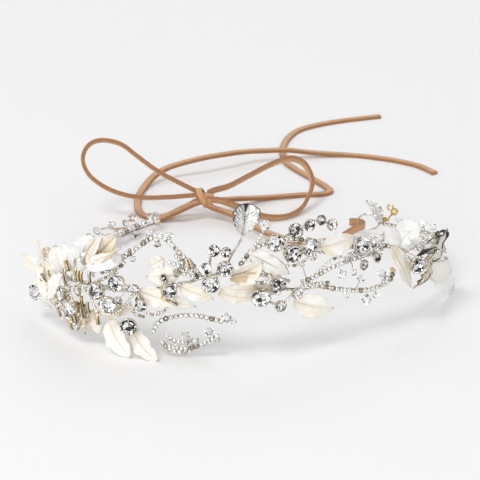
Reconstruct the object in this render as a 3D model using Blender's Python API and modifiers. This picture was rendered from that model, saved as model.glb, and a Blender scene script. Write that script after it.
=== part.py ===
"""A bridal flower crown: a silver wire hair vine tied at the back with suede laces.

The vine is one wire spine bent round the head. Strands of seed beads, pearly ivory
leaves, cast silver leaves, rhinestone sprays and crystals are wrapped on to it, and
its two ends are wire eyelets. A lace is looped through each eyelet, and the two laces
are tied in a bow. Metres, +Z up, the front faces -Y, and the origin is on the table
in the middle of the crown.

A place on the crown is (along, height, out) in millimetres: along the spine from the
middle of the front, positive to the right as seen from the front, the height above
the table, and the distance out from the spine's own curve.
"""

import math

import bmesh
import bpy
from mathutils import Matrix, Vector

MM = 0.001

# Driving dimensions, in millimetres.
RING_WIDTH = 166.0  # the spine, left to right
RING_DEPTH = 128.0  # the spine, front to back
SPINE_R = 0.8  # twisted wire spine
STRAND_R = 1.0  # strand of seed beads
STEM_R = 1.5  # beaded stem at the left end
TWIG_R = 0.5  # bare wire of a sprig or an eyelet
GAP = 0.3  # air between two pieces that touch
LEAF_T = 0.6  # pressed leaf
STONE_D = 6.4  # large rhinestone
STONE_SMALL_D = 4.4  # small rhinestone
CUP_WALL = 0.4  # metal round a rhinestone
EYELET_LONG = 10.0  # along the spine
EYELET_WIDE = 7.2
LACE_D = 3.0  # suede lace, as the round cord that it fills

# Layers of the crown, outwards from the spine.
STRAND_OUT = SPINE_R + STRAND_R + GAP
LEAF_OUT = STRAND_OUT + STRAND_R + LEAF_T / 2 + GAP
STONE_OUT = LEAF_OUT + LEAF_T / 2 + GAP + 0.75 * STONE_D - 2.4

# The spine seen from above, in half widths and half depths, from its left end
# through the front to its right end. The place FRONT of it is the middle of the front.
SPINE_ROUTE = [
    (-0.48, 0.99), (-0.68, 0.71), (-0.85, 0.38), (-0.95, -0.03),
    (-0.93, -0.44), (-0.73, -0.78), (-0.45, -0.95), (-0.13, -0.97),
    (0.16, -0.89), (0.45, -0.72), (0.71, -0.50), (0.93, -0.19),
    (1.05, 0.19), (1.00, 0.53), (0.83, 0.75), (0.66, 0.84),
]
FRONT = 7
CENTRE = Vector((1.35, 5.8, 0))  # moves the crown so that its middle is over the origin
SMOOTH_STEPS = 12

for old in list(bpy.data.objects):
    bpy.data.objects.remove(old, do_unlink=True)

parts = bpy.data.collections.new("flower_crown")
bpy.context.scene.collection.children.link(parts)


# Materials

def material(name, color, roughness, metallic=0.0):
    made = bpy.data.materials.new(name)
    made.use_nodes = True
    shader = made.node_tree.nodes["Principled BSDF"]
    shader.inputs["Base Color"].default_value = (*color, 1.0)
    shader.inputs["Roughness"].default_value = roughness
    shader.inputs["Metallic"].default_value = metallic
    return made


SILVER = material("silver_wire", (0.82, 0.79, 0.72), 0.25, 1.0)
BEADS = material("seed_beads", (0.88, 0.86, 0.82), 0.15)
IVORY = material("pearly_ivory", (0.90, 0.85, 0.74), 0.35)
WHITE = material("white_petal", (0.93, 0.92, 0.89), 0.40)
STONE = material("rhinestone", (0.90, 0.91, 0.93), 0.05, 0.6)
CRYSTAL = material("crystal", (0.93, 0.95, 0.97), 0.02)
GOLD = material("pale_gold", (0.78, 0.60, 0.30), 0.25, 1.0)
SUEDE = material("tan_suede", (0.52, 0.26, 0.12), 0.85)


# Places on the crown

def smooth(points, steps=SMOOTH_STEPS):
    """A Catmull-Rom curve through the points, as closely spaced points."""
    ends = [points[0] * 2 - points[1]] + list(points) + [points[-1] * 2 - points[-2]]
    curve = []
    for a, b, c, d in zip(ends, ends[1:], ends[2:], ends[3:]):
        for step in range(steps):
            t = step / steps
            bend = (a * 2 - b * 5 + c * 4 - d) * t * t
            twist = (b * 3 - a - c * 3 + d) * t * t * t
            curve.append((b * 2 + (c - a) * t + bend + twist) / 2)
    curve.append(points[-1].copy())
    return curve


def lengths(curve):
    total = [0.0]
    for a, b in zip(curve, curve[1:]):
        total.append(total[-1] + (b - a).length)
    return total


spine_curve = smooth(
    [Vector((x * RING_WIDTH / 2, y * RING_DEPTH / 2, 0)) + CENTRE for x, y in SPINE_ROUTE]
)
spine_length = lengths(spine_curve)
FRONT_LENGTH = spine_length[FRONT * SMOOTH_STEPS]
LEFT_END = -FRONT_LENGTH
RIGHT_END = spine_length[-1] - FRONT_LENGTH


def spine_place(along):
    """Point and outward direction of the spine's plan curve, straight on past its ends."""
    wanted = along + FRONT_LENGTH
    last = len(spine_curve) - 2
    index = 0
    while index < last and spine_length[index + 1] < wanted:
        index += 1
    a, b = spine_curve[index], spine_curve[index + 1]
    share = (wanted - spine_length[index]) / (spine_length[index + 1] - spine_length[index])
    ahead = (spine_curve[min(index + 2, last + 1)] - spine_curve[max(index - 1, 0)]).normalized()
    return a + (b - a) * share, Vector((ahead.y, -ahead.x, 0))


def at(place):
    along, height, out = place
    point, outward = spine_place(along)
    return point + outward * out + Vector((0, 0, height))


def outward_at(place):
    return spine_place(place[0])[1]


# Making a node

def add(name, data, finish):
    node = bpy.data.objects.new(name, data)
    data.materials.append(finish)
    parts.objects.link(node)
    return node


def resample(curve, spacing):
    """Evenly spaced points along a curve, both ends kept."""
    total = lengths(curve)
    count = max(2, round(total[-1] / spacing))
    chosen = []
    index = 0
    for step in range(count + 1):
        wanted = total[-1] * step / count
        while index < len(curve) - 2 and total[index + 1] < wanted:
            index += 1
        span = total[index + 1] - total[index]
        chosen.append(curve[index].lerp(curve[index + 1], (wanted - total[index]) / span))
    return chosen


def tube_data(name, points, radius, closed=False):
    data = bpy.data.curves.new(name, "CURVE")
    data.dimensions = "3D"
    data.bevel_depth = radius * MM
    data.bevel_resolution = 2
    data.use_fill_caps = not closed
    spline = data.splines.new("POLY")
    spline.points.add(len(points) - 1)
    for knot, point in zip(spline.points, points):
        knot.co = (*(point * MM), 1.0)
    spline.use_cyclic_u = closed
    return data


def tube(name, points, radius, finish, spacing=None):
    """A round wire, strand or cord through the points, which are in millimetres."""
    curve = resample(smooth(points), spacing or 6 * radius)
    return add(name, tube_data(name, curve, radius), finish)


def strand(name, places, radius=STRAND_R, finish=BEADS, spacing=5.0):
    return tube(name, [at(place) for place in places], radius, finish, spacing)


def mesh_of(node):
    """The evaluated mesh of a curve or a modified object, with its caps welded."""
    bpy.context.view_layer.update()
    graph = bpy.context.evaluated_depsgraph_get()
    data = bpy.data.meshes.new_from_object(node.evaluated_get(graph))
    welder = bmesh.new()
    welder.from_mesh(data)
    welder.transform(node.matrix_world)
    bmesh.ops.remove_doubles(welder, verts=welder.verts, dist=0.00001)
    bmesh.ops.recalc_face_normals(welder, faces=welder.faces)
    welder.to_mesh(data)
    welder.free()
    return data


def united(name, pieces, finish):
    """One solid from overlapping pieces, which are used up."""
    meshes = [mesh_of(piece) for piece in pieces]
    for piece in pieces:
        bpy.data.objects.remove(piece, do_unlink=True)
    whole = add(name, meshes[0], finish)
    for number, data in enumerate(meshes[1:]):
        tool = bpy.data.objects.new(f"{name}_join_{number}", data)
        parts.objects.link(tool)
        join = whole.modifiers.new("join", "BOOLEAN")
        join.operation = "UNION"
        join.object = tool
        result = mesh_of(whole)
        whole.modifiers.clear()
        whole.data = result
        bpy.data.objects.remove(tool, do_unlink=True)
    whole.data.materials.clear()
    whole.data.materials.append(finish)
    return whole


def outline_share(u, near, far):
    """Share of a leaf's full width at u along it: near and far set how blunt its ends are."""
    widest = near / (near + far)
    peak = widest**near * (1 - widest) ** far
    return max(0.06, u**near * (1 - u) ** far / peak)


def leaf(name, base, tip, width, finish=IVORY, turn=0.0, arch=0.0, cup=0.0,
         near=0.6, far=0.9, swing=0.0):
    """A pressed leaf from base to tip, widest nearer its base.

    turn rolls it about its length in degrees, arch lifts its middle outwards, cup
    lifts its edges, and swing bends it sideways, all in millimetres.
    """
    start, end = at(base), at(tip)
    length = (end - start).length
    ahead = (end - start).normalized()
    facing = outward_at(((base[0] + tip[0]) / 2, 0, 0))
    facing = (facing - ahead * facing.dot(ahead)).normalized()
    facing = Matrix.Rotation(math.radians(turn), 3, ahead) @ facing
    across = facing.cross(ahead)
    sheet = bmesh.new()
    bmesh.ops.create_grid(sheet, x_segments=7, y_segments=4, size=0.5)
    for vert in sheet.verts:
        u = vert.co.x + 0.5
        side = vert.co.y * 2
        half = width / 2 * outline_share(u, near, far)
        lift = arch * math.sin(math.pi * u) + cup * side * side * half / (width / 2)
        bend = swing * math.sin(math.pi * u)
        place = start + ahead * (length * u) + across * (half * side + bend) + facing * lift
        vert.co = place * MM
    data = bpy.data.meshes.new(name)
    sheet.to_mesh(data)
    sheet.free()
    node = add(name, data, finish)
    wall = node.modifiers.new("thickness", "SOLIDIFY")
    wall.thickness = LEAF_T * MM
    wall.offset = 0
    return node


def turned(name, profile, center, axis, finish, steps=10):
    """A turned solid: profile is (radius, height) down its outer side, axis its way up."""
    data = bpy.data.meshes.new(name)
    data.from_pydata(
        [(radius * MM, 0, height * MM) for radius, height in profile],
        [(i, i + 1) for i in range(len(profile) - 1)],
        [],
    )
    node = add(name, data, finish)
    spin = node.modifiers.new("turn", "SCREW")
    spin.steps = steps
    spin.render_steps = steps
    spin.use_merge_vertices = True
    spin.merge_threshold = 0.00001
    node.matrix_world = (
        Matrix.Translation(center * MM) @ axis.to_track_quat("Z", "Y").to_matrix().to_4x4()
    )
    return node


CUP_FOOT = 0.34  # share of a stone's diameter from its middle to its cup's foot


def cup_profile(diameter):
    """A rhinestone in its cup: a flat table, a sloped crown, the cup's wall and its foot."""
    radius = diameter / 2
    wall = radius + CUP_WALL
    return [
        (0, 0.36 * diameter), (0.55 * radius, 0.36 * diameter), (radius, 0.18 * diameter),
        (wall, 0.10 * diameter), (wall, -0.16 * diameter), (0.5 * radius, -CUP_FOOT * diameter),
        (0, -CUP_FOOT * diameter),
    ]


def facing_of(place, along, up):
    """The way a stone faces: outwards, leaned by degrees along the spine and upwards."""
    outward = outward_at(place)
    side = Vector((0, 0, 1)).cross(outward)
    turned_along = Matrix.Rotation(math.radians(along), 3, "Z") @ outward
    return Matrix.Rotation(math.radians(-up), 3, side) @ turned_along


def stone(name, place, diameter=STONE_D, along=0.0, up=0.0):
    return turned(name, cup_profile(diameter), at(place), facing_of(place, along, up), STONE)


def spray(name, places, stem=()):
    """Stones wired side by side: a twig at their feet joins their cups into one piece.

    Each place is (along, height, out, diameter, lean along, lean up), and the twig
    starts along stem.
    """
    heads = []
    route = [at(place) for place in stem]
    for *place, diameter, along, up in places:
        heads.append(stone(f"{name}_cup", place, diameter, along, up))
        route.append(at(place) - facing_of(place, along, up) * CUP_FOOT * diameter)
    twig = tube(f"{name}_twig", route, TWIG_R, SILVER, 3.0)
    return united(name, [twig] + heads, STONE)


# Wire spine and the branches wrapped on to it

strand("left_spine_wire", [(-133, 7, 0), (-115, 9, 0), (-95, 14, 0), (-73, 20, 0)], SPINE_R, SILVER)
strand(
    "front_spine_wire",
    [(-72, 20, 0), (-55, 23, 0), (-40, 24, 0), (-20, 27, 0), (-5, 32, 0), (8, 34, 0),
     (20, 31, 0), (30, 27, 0)],
    SPINE_R, SILVER,
)
strand(
    "upper_branch_strand",
    [(9.5, 36.1, 0), (12, 40, 0), (17, 44, 0), (28, 45.5, 0), (42, 42, 0), (54, 37.5, 0),
     (69, 34.8, 0), (80, 31, 0), (88, 26.6, 0)],
)
strand(
    "right_spine_wire",
    [(81, 21, 0), (95, 17, 0), (110, 15, 0), (126, 13, 0)], SPINE_R, SILVER,
)
strand(
    "right_end_wire", [(127.5, 13, 0), (150, 10.5, 0), (RIGHT_END - 8, 8, 0)], SPINE_R, SILVER,
)


def eyelet(name, along, height, out, upright):
    """A closed wire loop, long way along the spine, upright or lying outwards."""
    ring = []
    for step in range(16):
        angle = math.tau * step / 16
        across = EYELET_WIDE / 2 * math.sin(angle)
        ring.append(at((
            along + EYELET_LONG / 2 * math.cos(angle),
            height + (across if upright else 0),
            out + (0 if upright else across),
        )))
    return add(name, tube_data(name, ring, TWIG_R, closed=True), SILVER)


RIGHT_WIRE_END = RIGHT_END - 8
eyelet("right_eyelet", RIGHT_WIRE_END + EYELET_LONG / 2 + TWIG_R + GAP, 8, 0, True)
united(
    "left_beaded_stem",
    [
        strand(
            "left_stem_beads",
            [(LEFT_END, 5, 0), (-170, 5, 0), (-150, 5.5, 0), (-134, 6.5, 0)], STEM_R,
        ),
        eyelet("left_eyelet", -158, 5.5, STEM_R + EYELET_WIDE / 2 + TWIG_R - 0.3, False),
    ],
    BEADS,
)
turned(
    "left_foot_crystal", [(0, 1.6), (2.3, 0.2), (1.2, -1.6), (0, -1.6)],
    at((-171, 1.6, 0)), Vector((0, 0, 1)), CRYSTAL, 8,
)

# Strands of seed beads

strand(
    "arch_strand",
    [(-50, 32.5, STRAND_OUT), (-41, 35.5, STRAND_OUT), (-32, 43, STRAND_OUT),
     (-24, 50, STRAND_OUT), (-20, 49.5, STRAND_OUT), (-16, 45.5, STRAND_OUT),
     (-11, 39.5, STRAND_OUT), (-8, 37, STRAND_OUT)],
)
LOOP_OUT = STRAND_OUT + 2.0
strand(
    "loop_upper_strand",
    [(-24.5, 9, LOOP_OUT), (-23, 13, LOOP_OUT), (-19, 16, LOOP_OUT),
     (-10.5, 17.5, LOOP_OUT), (-4.5, 16.5, LOOP_OUT), (2.5, 14.5, LOOP_OUT)],
)
strand(
    "loop_lower_strand",
    [(-21.5, 6.5, LOOP_OUT + 1), (-18, 2.6, LOOP_OUT + 1), (-11, 2.2, LOOP_OUT + 1),
     (-5, 5.5, LOOP_OUT + 1), (0.5, 9, LOOP_OUT + 1)],
)
strand(
    "right_upper_strand",
    [(34, 26.6, STRAND_OUT), (38, 27.5, STRAND_OUT), (42.5, 29, STRAND_OUT),
     (49, 31, STRAND_OUT), (56, 32, STRAND_OUT), (62, 32.5, STRAND_OUT), (69, 32, STRAND_OUT)],
)
strand(
    "right_lower_strand",
    [(34, 23.8, STRAND_OUT), (41.5, 23.8, STRAND_OUT), (49, 21, STRAND_OUT),
     (57.5, 18.3, STRAND_OUT), (66, 16.8, STRAND_OUT), (74, 17, STRAND_OUT),
     (77.5, 19.5, STRAND_OUT), (78.5, 23, STRAND_OUT)],
)

# Ivory leaves

leaf("left_long_leaf", (-80, 20, 5), (-92, 22, 13), 7.5, turn=20, arch=1.5)
leaf("left_upper_petal", (-66, 24, 4.5), (-67, 38, 7), 9, arch=1, near=0.5, far=0.5)
leaf("left_side_petal", (-76, 27, 6.5), (-68, 13.5, 8.5), 9, arch=1.5, near=0.5, far=0.5)
leaf("left_back_petal", (-60, 33, 3), (-49, 46, 2), 8, arch=1.5, turn=-15)
leaf("calla_leaf", (-48, 29.5, 5.5), (-36, 47, 5.5), 12, arch=1, cup=3.5)
leaf("folded_leaf", (-46, 18, 5.5), (-30.5, 20, 6.5), 6.5, cup=1.8)
leaf("front_left_leaf", (-41.5, 13, 6), (-31, 0.2, 10.5), 9.5, arch=1.5)
leaf("front_right_leaf", (-31.5, 11, 7), (-21.5, 0.25, 11), 8, arch=1.5, turn=12)
leaf("middle_upper_leaf", (-14.5, 35.5, 6), (-26, 34.5, 6.5), 8, arch=1.5, turn=10)
leaf("middle_lower_leaf", (-29, 27.5, 5.5), (-15, 24, 7), 8, arch=1.5, turn=-5)
leaf("middle_right_leaf", (-14, 30.5, 5.5), (-1.5, 25.5, 6.5), 6.5, arch=1.5)
leaf("centre_folded_leaf", (5.5, 33.5, 5), (17, 39.5, 6), 9, cup=3, arch=1)
leaf("centre_low_leaf", (15, 28, 5), (1, 29.5, 6), 5, arch=1)
leaf("centre_long_leaf", (12.5, 42.5, 3.4), (28, 32.5, 4.6), 6.5, arch=1.2, turn=-8)
leaf("broad_leaf", (29.3, 20.8, 6), (45.5, 15.5, 8), 10, arch=2)
leaf("upper_leaf", (41, 41.5, 5), (56, 43, 5), 8.5, arch=1, cup=1)
leaf("right_long_leaf", (72.5, 35.5, 6.4), (83, 14.5, 7.6), 8.5, arch=1.2, turn=-15)

# White petals of the right cluster

leaf("right_lower_petal", (94, 18, 7), (117, 0.9, 7), 10, WHITE, arch=2, near=0.5, far=0.45)
leaf("right_left_petal", (80.5, 35.6, 3.6), (70, 40.7, 4.8), 7.5, WHITE, arch=1, near=0.5, far=0.45)
leaf("right_back_petal", (0.9291 * RIGHT_END, 8.2, -2.7), (0.8521 * RIGHT_END, 9, -2.7), 7.6,
     WHITE, arch=-1.5, near=0.5, far=0.45)

# Cast silver leaves

leaf("right_silver_leaf", (92.5, 26.5, 7), (113, 29.5, 6), 7, SILVER, arch=1, cup=1)
leaf("right_scalloped_leaf", (92, 24, 10.5), (83.5, 16.5, 11.5), 6, SILVER, arch=1)


def fern_leaf(name, root, reach, lobes, turn_from, turn_to):
    """A cast leaf of pointed lobes that fan out from its root, cut from a flat outline."""
    start = at(root)
    outward = outward_at(root)
    side = Vector((0, 0, 1)).cross(outward)
    data = bpy.data.curves.new(name, "CURVE")
    data.dimensions = "2D"
    data.fill_mode = "BOTH"
    data.extrude = LEAF_T / 2 * MM
    outline = [(1.0, 1.0)]
    for corner in range(2 * lobes - 1):
        angle = math.radians(turn_from + (turn_to - turn_from) * corner / (2 * lobes - 2))
        far = reach * (0.5 if corner % 2 else 1.0)
        outline.append((far * math.cos(angle), far * math.sin(angle)))
    spline = data.splines.new("POLY")
    spline.points.add(len(outline) - 1)
    for knot, (x, y) in zip(spline.points, outline):
        knot.co = (x * MM, y * MM, 0, 1)
    spline.use_cyclic_u = True
    node = add(name, data, SILVER)
    frame = Matrix((side, Vector((0, 0, 1)), outward)).transposed().to_4x4()
    node.matrix_world = Matrix.Translation(start * MM) @ frame
    return node


fern_leaf("left_fern_leaf", (-51, 17, 6.2), 12.5, 5, 195, 275)

# Rhinestone sprays

spray("left_stone_spray", [
    (-61, 19, STONE_OUT + 2, STONE_D, -20, -10),
    (-54.5, 16.5, STONE_OUT + 4, STONE_D, -5, -15),
])
spray("lower_left_stone_spray", [
    (-44.5, 25.7, STONE_OUT + 1.5, STONE_D, 0, 10),
    (-39, 22.5, STONE_OUT + 5, STONE_D, 20, 0),
])
spray("arch_stone_spray", [
    (-35.4, 32.3, STONE_OUT + 4.6, STONE_D, 0, 25),
    (-30.5, 29, STONE_OUT + 1.5, STONE_SMALL_D, 15, 0),
    (-27, 23.5, STONE_OUT + 4, STONE_SMALL_D, 10, 0),
])
stone("front_leaf_stone", (-31.5, 14, STONE_OUT + 4.2), along=15)
stone("middle_stone", (-17.5, 31.2, STONE_OUT + 4.2), along=40)
spray("centre_stone_spray", [
    (-4.5, 38.5, STONE_OUT, STONE_SMALL_D, 0, 20),
    (-2.5, 32.5, STONE_OUT + 1.5, STONE_D, -10, 0),
    (2.6, 38.4, STONE_OUT + 0.4, 0.92 * STONE_D, 0, 0),
])
spray("lower_stone_spray", [
    (22, 30, STONE_OUT + 2, STONE_D, 0, 10),
    (15.5, 26, STONE_OUT + 2.5, 7.0, -10, 0),
    (23.5, 20.5, STONE_OUT + 1, STONE_SMALL_D, 0, 0),
    (30, 25.2, STONE_OUT + 1, STONE_SMALL_D, 10, 0),
])
spray("upper_left_stone_spray", [
    (22, 47, STONE_OUT - 1, STONE_D, -10, 10),
    (28, 42.5, STONE_OUT + 1, 7.0, 0, 0),
    (35, 43.5, STONE_OUT, STONE_D, 10, 10),
])
stone("branch_end_stone", (57.5, 40.5, STONE_OUT + 1), up=10)
stone("right_star_stone", (82.8, 26, STONE_OUT + 4.6), 6.8, along=-15)

# Sprigs that bend where their stems leave the wire, and a crystal that hangs free

TALL_LEAF_ROOT = (3.5, 35.4, 1.4)
CENTRE_SPRIG_ROOT = (-2.5, 34.2, 1.4)
UPPER_SPRIG_ROOT = (27, 47, 1.2)
STAMEN_ROOT = (RIGHT_END - 11.15, 9.4, 0)
CURVED_LEAF_ROOT = (RIGHT_END - 7.75, 8.6, -1.9)
CURVED_LEAF_SWING = 2.0

strand(
    "tall_leaf_stem", [TALL_LEAF_ROOT, (5.5, 41.5, 2.2), (8, 46, 2.6), (10.5, 51, 3)],
    TWIG_R, SILVER, 3.0,
)
leaf("tall_silver_leaf", (11, 52, 3), (13.5, 64.5, 2), 13, SILVER, arch=1.5, near=0.9, far=0.35)
spray(
    "centre_stone_sprig",
    [(-1.2, 44.8, STONE_OUT - 3, STONE_SMALL_D, 0, 20),
     (3.4, 44.2, STONE_OUT - 2.5, 0.88 * STONE_SMALL_D, 0, 10)],
    stem=[CENTRE_SPRIG_ROOT, (-2.6, 40, 1.8)],
)
spray(
    "upper_stone_sprig",
    [(30.2, 50.6, 5, 0.88 * STONE_D, 0, 20), (35.6, 52.4, 5.5, STONE_SMALL_D, 0, 10),
     (40.6, 53.6, 5.5, 0.88 * STONE_SMALL_D, 5, 10), (45.4, 50.8, 5.5, STONE_SMALL_D, 10, 10)],
    stem=[UPPER_SPRIG_ROOT],
)
stamen_stem = strand(
    "stamen_stem", [STAMEN_ROOT, (RIGHT_END - 11.75, 11.4, 0), (RIGHT_END - 13.35, 13.4, 0)],
    TWIG_R, SILVER, 2.0,
)
stamen_head = turned(
    "stamen_head", [(0, 1.9), (0.9, 1.5), (1.6, 0.2), (1.2, -1.2), (0, -1.8)],
    at((RIGHT_END - 14.15, 14.6, 0)), Vector((0, 0, 1)), GOLD, 10,
)
united("stamen_sprig", [stamen_stem, stamen_head], GOLD)
leaf("curved_silver_leaf", CURVED_LEAF_ROOT, (RIGHT_END - 0.85, 18.6, -0.8), 5, SILVER, arch=0.5,
     swing=CURVED_LEAF_SWING)
turned(
    "crystal_drop", [(0, 2.6), (0.5, 2.2), (2.1, -0.6), (1.4, -2.0), (0, -2.4)],
    at((64.5, 13.1, STRAND_OUT)), Vector((0, 0, 1)), CRYSTAL, 8,
)


# Laces and bow, in millimetres: these routes are set by hand

def lace(name, route):
    points = [Vector(point) + CENTRE for point in route]
    return tube(name, points, LACE_D / 2, SUEDE, 2.2 * LACE_D)


KNOT_SIZE = (7.0, 9.6, 9.6)
KNOT_CENTER = Vector((-18, 78, 9.3)) + CENTRE
knot_mesh = bmesh.new()
bmesh.ops.create_cube(knot_mesh, size=1)
for corner in knot_mesh.verts:
    corner.co = Vector([KNOT_CENTER[i] + corner.co[i] * KNOT_SIZE[i] for i in range(3)]) * MM
knot_data = bpy.data.meshes.new("bow_knot")
knot_mesh.to_mesh(knot_data)
knot_mesh.free()
knot = add("bow_knot", knot_data, SUEDE)
rounding = knot.modifiers.new("rounding", "BEVEL")
rounding.width = 1.6 * MM
rounding.segments = 2

lace("left_bow_loop", [
    (-22.4, 80.2, 12.4), (-25, 81, 13.4), (-39, 84, 20), (-49.5, 87, 27), (-56.5, 88.5, 32),
    (-64.5, 89, 34), (-70.5, 88, 33), (-74, 86, 29), (-74, 83, 24), (-70, 80, 18.5),
    (-60.5, 78, 13), (-48, 76.5, 10.4), (-34, 76, 10.8), (-25, 76.3, 11.4), (-22.4, 76.4, 11.6),
])
lace("right_bow_loop", [
    (-13.6, 80.8, 12.3), (-10, 82, 12.8), (-6, 83.5, 13.6), (3, 89, 16.5), (13.5, 96, 19.5),
    (22, 101, 20.5), (28.5, 103, 17.5), (32, 100, 12.5), (32.5, 95, 8.6), (30, 88, 4.6),
    (26.5, 82, 2.5), (19.5, 75, 2), (9, 72.5, 3), (-1.5, 73.8, 6.5), (-10, 75.6, 9), (-13.6, 76, 9.4),
])
lace("left_tie", [
    (-22.6, 74.6, 8), (-25, 73.8, 7.2), (-29.5, 72.4, 5.4), (-34.5, 72, 3.2), (-39, 71.6, 1.9),
    (-44, 69, 1.7), (-48.5, 64.4, 1.8), (-53, 59, 2.2), (-57.5, 54.5, 3.2),
])
lace("right_tie", [
    (-13.4, 74.2, 5.9), (-10, 73, 5.2), (-6, 70, 4.8), (1, 62.5, 4.4), (8.5, 52, 4),
    (14.5, 46, 4), (20, 42.6, 3.6), (28, 41, 3.2), (36.5, 43, 3.2), (43.5, 47.5, 4), (49, 52.6, 5.4),
])
lace("right_tail", [
    (-13.2, 80.4, 7.9), (-10, 83, 6.6), (-1.5, 90.5, 4.2), (10.5, 99, 2), (27, 103.4, 1.6),
    (37, 104.6, 1.6), (41.8, 108, 1.6), (39.8, 114.5, 1.6), (33.5, 125.5, 1.6), (26, 138, 1.6),
    (21.5, 148, 1.6), (20, 163.5, 1.6), (22, 178.5, 1.6), (27.5, 192.5, 1.6), (36.5, 201.5, 1.6),
    (51.5, 209.5, 1.6), (73, 217, 1.6),
])
lace("left_tail", [
    (-22.9, 78.8, 7.4), (-25, 78.8, 5.8), (-30, 78, 3.6), (-36.5, 76, 1.9), (-43, 75.4, 1.6),
    (-47.5, 79, 1.6), (-49.8, 88, 1.6), (-49.8, 102, 1.6), (-47.5, 114, 2), (-43, 122, 3.8),
    (-35.5, 128, 6), (-21, 134, 8), (-9, 141, 7.6), (1, 147.5, 6.6), (11, 151, 5.8),
    (21, 153.6, 5.2), (33.5, 157, 3), (54, 158, 1.6), (69, 153.5, 1.6), (78.5, 149, 1.6),
    (88, 142, 1.6), (94.5, 132.5, 1.6),
])
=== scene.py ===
import bmesh
import bpy
import numpy as np
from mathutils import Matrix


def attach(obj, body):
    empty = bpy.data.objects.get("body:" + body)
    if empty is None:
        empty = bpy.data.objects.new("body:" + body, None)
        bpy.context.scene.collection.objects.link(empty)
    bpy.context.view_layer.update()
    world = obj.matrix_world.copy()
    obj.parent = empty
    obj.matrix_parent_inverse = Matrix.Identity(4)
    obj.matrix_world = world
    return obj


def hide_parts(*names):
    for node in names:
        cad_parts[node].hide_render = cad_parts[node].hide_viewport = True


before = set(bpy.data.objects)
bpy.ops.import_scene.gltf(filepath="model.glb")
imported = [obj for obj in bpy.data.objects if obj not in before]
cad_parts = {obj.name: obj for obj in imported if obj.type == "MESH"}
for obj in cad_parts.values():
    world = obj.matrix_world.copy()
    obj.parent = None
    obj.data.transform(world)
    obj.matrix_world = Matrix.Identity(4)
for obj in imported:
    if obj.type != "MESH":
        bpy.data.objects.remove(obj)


def noteSize():
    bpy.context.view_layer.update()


noteSize()
scene = bpy.context.scene
print("stage: camera")
cameraLook = dict(spot=(-0.00015, -0.7537, 0.3438), down=23.0, lens=145.5)
cameraData = bpy.data.cameras.new("camera")
cameraData.sensor_width = 36
cameraData.lens = cameraLook["lens"]
cameraData.clip_start = 0.01
camera = bpy.data.objects.new("camera", cameraData)
camera.location = cameraLook["spot"]
camera.rotation_euler = (np.radians(90 - cameraLook["down"]), 0, 0)
scene.collection.objects.link(camera)
scene.camera = camera


# Curves and places, in millimetres: along the spine, height, and out from it

def unit(v):
    return v / np.maximum(np.linalg.norm(v, axis=-1, keepdims=True), 1e-9)


def throughPoints(points, steps=12):
    # Catmull-Rom: (2b + (c-a)t + (2a-5b+4c-d)t^2 + (3b-a-3c+d)t^3) / 2
    p = np.asarray(points, float)
    ends = np.vstack([2 * p[:1] - p[1:2], p, 2 * p[-1:] - p[-2:-1]])
    a, b, c, d = (ends[i: len(ends) - 3 + i, None] for i in range(4))
    t = (np.arange(steps) / steps)[None, :, None]
    curve = 2 * b + (c - a) * t + (2 * a - 5 * b + 4 * c - d) * t**2 + (3 * b - a - 3 * c + d) * t**3
    return np.vstack([curve.reshape(-1, p.shape[1]) / 2, p[-1:]])


def lengthsOf(path):
    return np.concatenate([[0], np.cumsum(np.linalg.norm(np.diff(path, axis=0), axis=1))])


def evenly(path, spacing):
    total = lengthsOf(path)
    wanted = np.linspace(0, total[-1], max(3, int(round(total[-1] / spacing)) + 1))
    return np.stack([np.interp(wanted, total, path[:, i]) for i in range(3)], 1)


def turn(v, axis, degrees):
    # rotation: v cos + (axis x v) sin + axis (axis.v)(1 - cos)
    angle = np.radians(degrees)
    return (v * np.cos(angle) + np.cross(axis, v) * np.sin(angle)
            + axis * np.sum(axis * v, -1, keepdims=True) * (1 - np.cos(angle)))


spineLook = dict(width=166.0, depth=128.0, centre=(1.35, 5.8, 0))
spineRoute = [
    (-0.48, 0.99), (-0.68, 0.71), (-0.85, 0.38), (-0.95, -0.03), (-0.93, -0.44), (-0.73, -0.78),
    (-0.45, -0.95), (-0.13, -0.97), (0.16, -0.89), (0.45, -0.72), (0.71, -0.50), (0.93, -0.19),
    (1.05, 0.19), (1.00, 0.53), (0.83, 0.75), (0.66, 0.84),
]
centre = np.array(spineLook["centre"])
halves = np.array([spineLook["width"] / 2, spineLook["depth"] / 2])
spine = throughPoints(np.pad(np.array(spineRoute) * halves, ((0, 0), (0, 1))) + centre)
spineLength = lengthsOf(spine)
frontLength = spineLength[7 * 12]
rightEnd = spineLength[-1] - frontLength
leftEnd = -frontLength


def onSpine(along):
    wanted = np.asarray(along, float) + frontLength
    index = np.clip(np.searchsorted(spineLength, wanted) - 1, 0, len(spine) - 2)
    share = (wanted - spineLength[index]) / (spineLength[index + 1] - spineLength[index])
    ahead = unit(spine[np.minimum(index + 2, len(spine) - 1)] - spine[np.maximum(index - 1, 0)])
    point = spine[index] + (spine[index + 1] - spine[index]) * share[..., None]
    return point, np.stack([ahead[..., 1], -ahead[..., 0], 0 * ahead[..., 0]], -1)


def place(spots):
    spots = np.asarray(spots, float)
    point, outward = onSpine(spots[..., 0])
    return point + outward * spots[..., 2:3] + spots[..., 1:2] * np.array([0, 0, 1.0])


def facingOf(spot, along=0, up=0):
    outward = onSpine(spot[0])[1]
    side = np.cross([0, 0, 1.0], outward)
    return turn(turn(outward, np.array([0, 0, 1.0]), along), side, -up)


# Closed shells, each a dictionary of points, faces with their finish, and marks

def shell(points, faces, smooth=True, marks=None):
    if marks is None:
        marks = np.zeros((len(points), 3))
    return dict(points=points, faces=faces, smooth=smooth, marks=marks)


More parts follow.
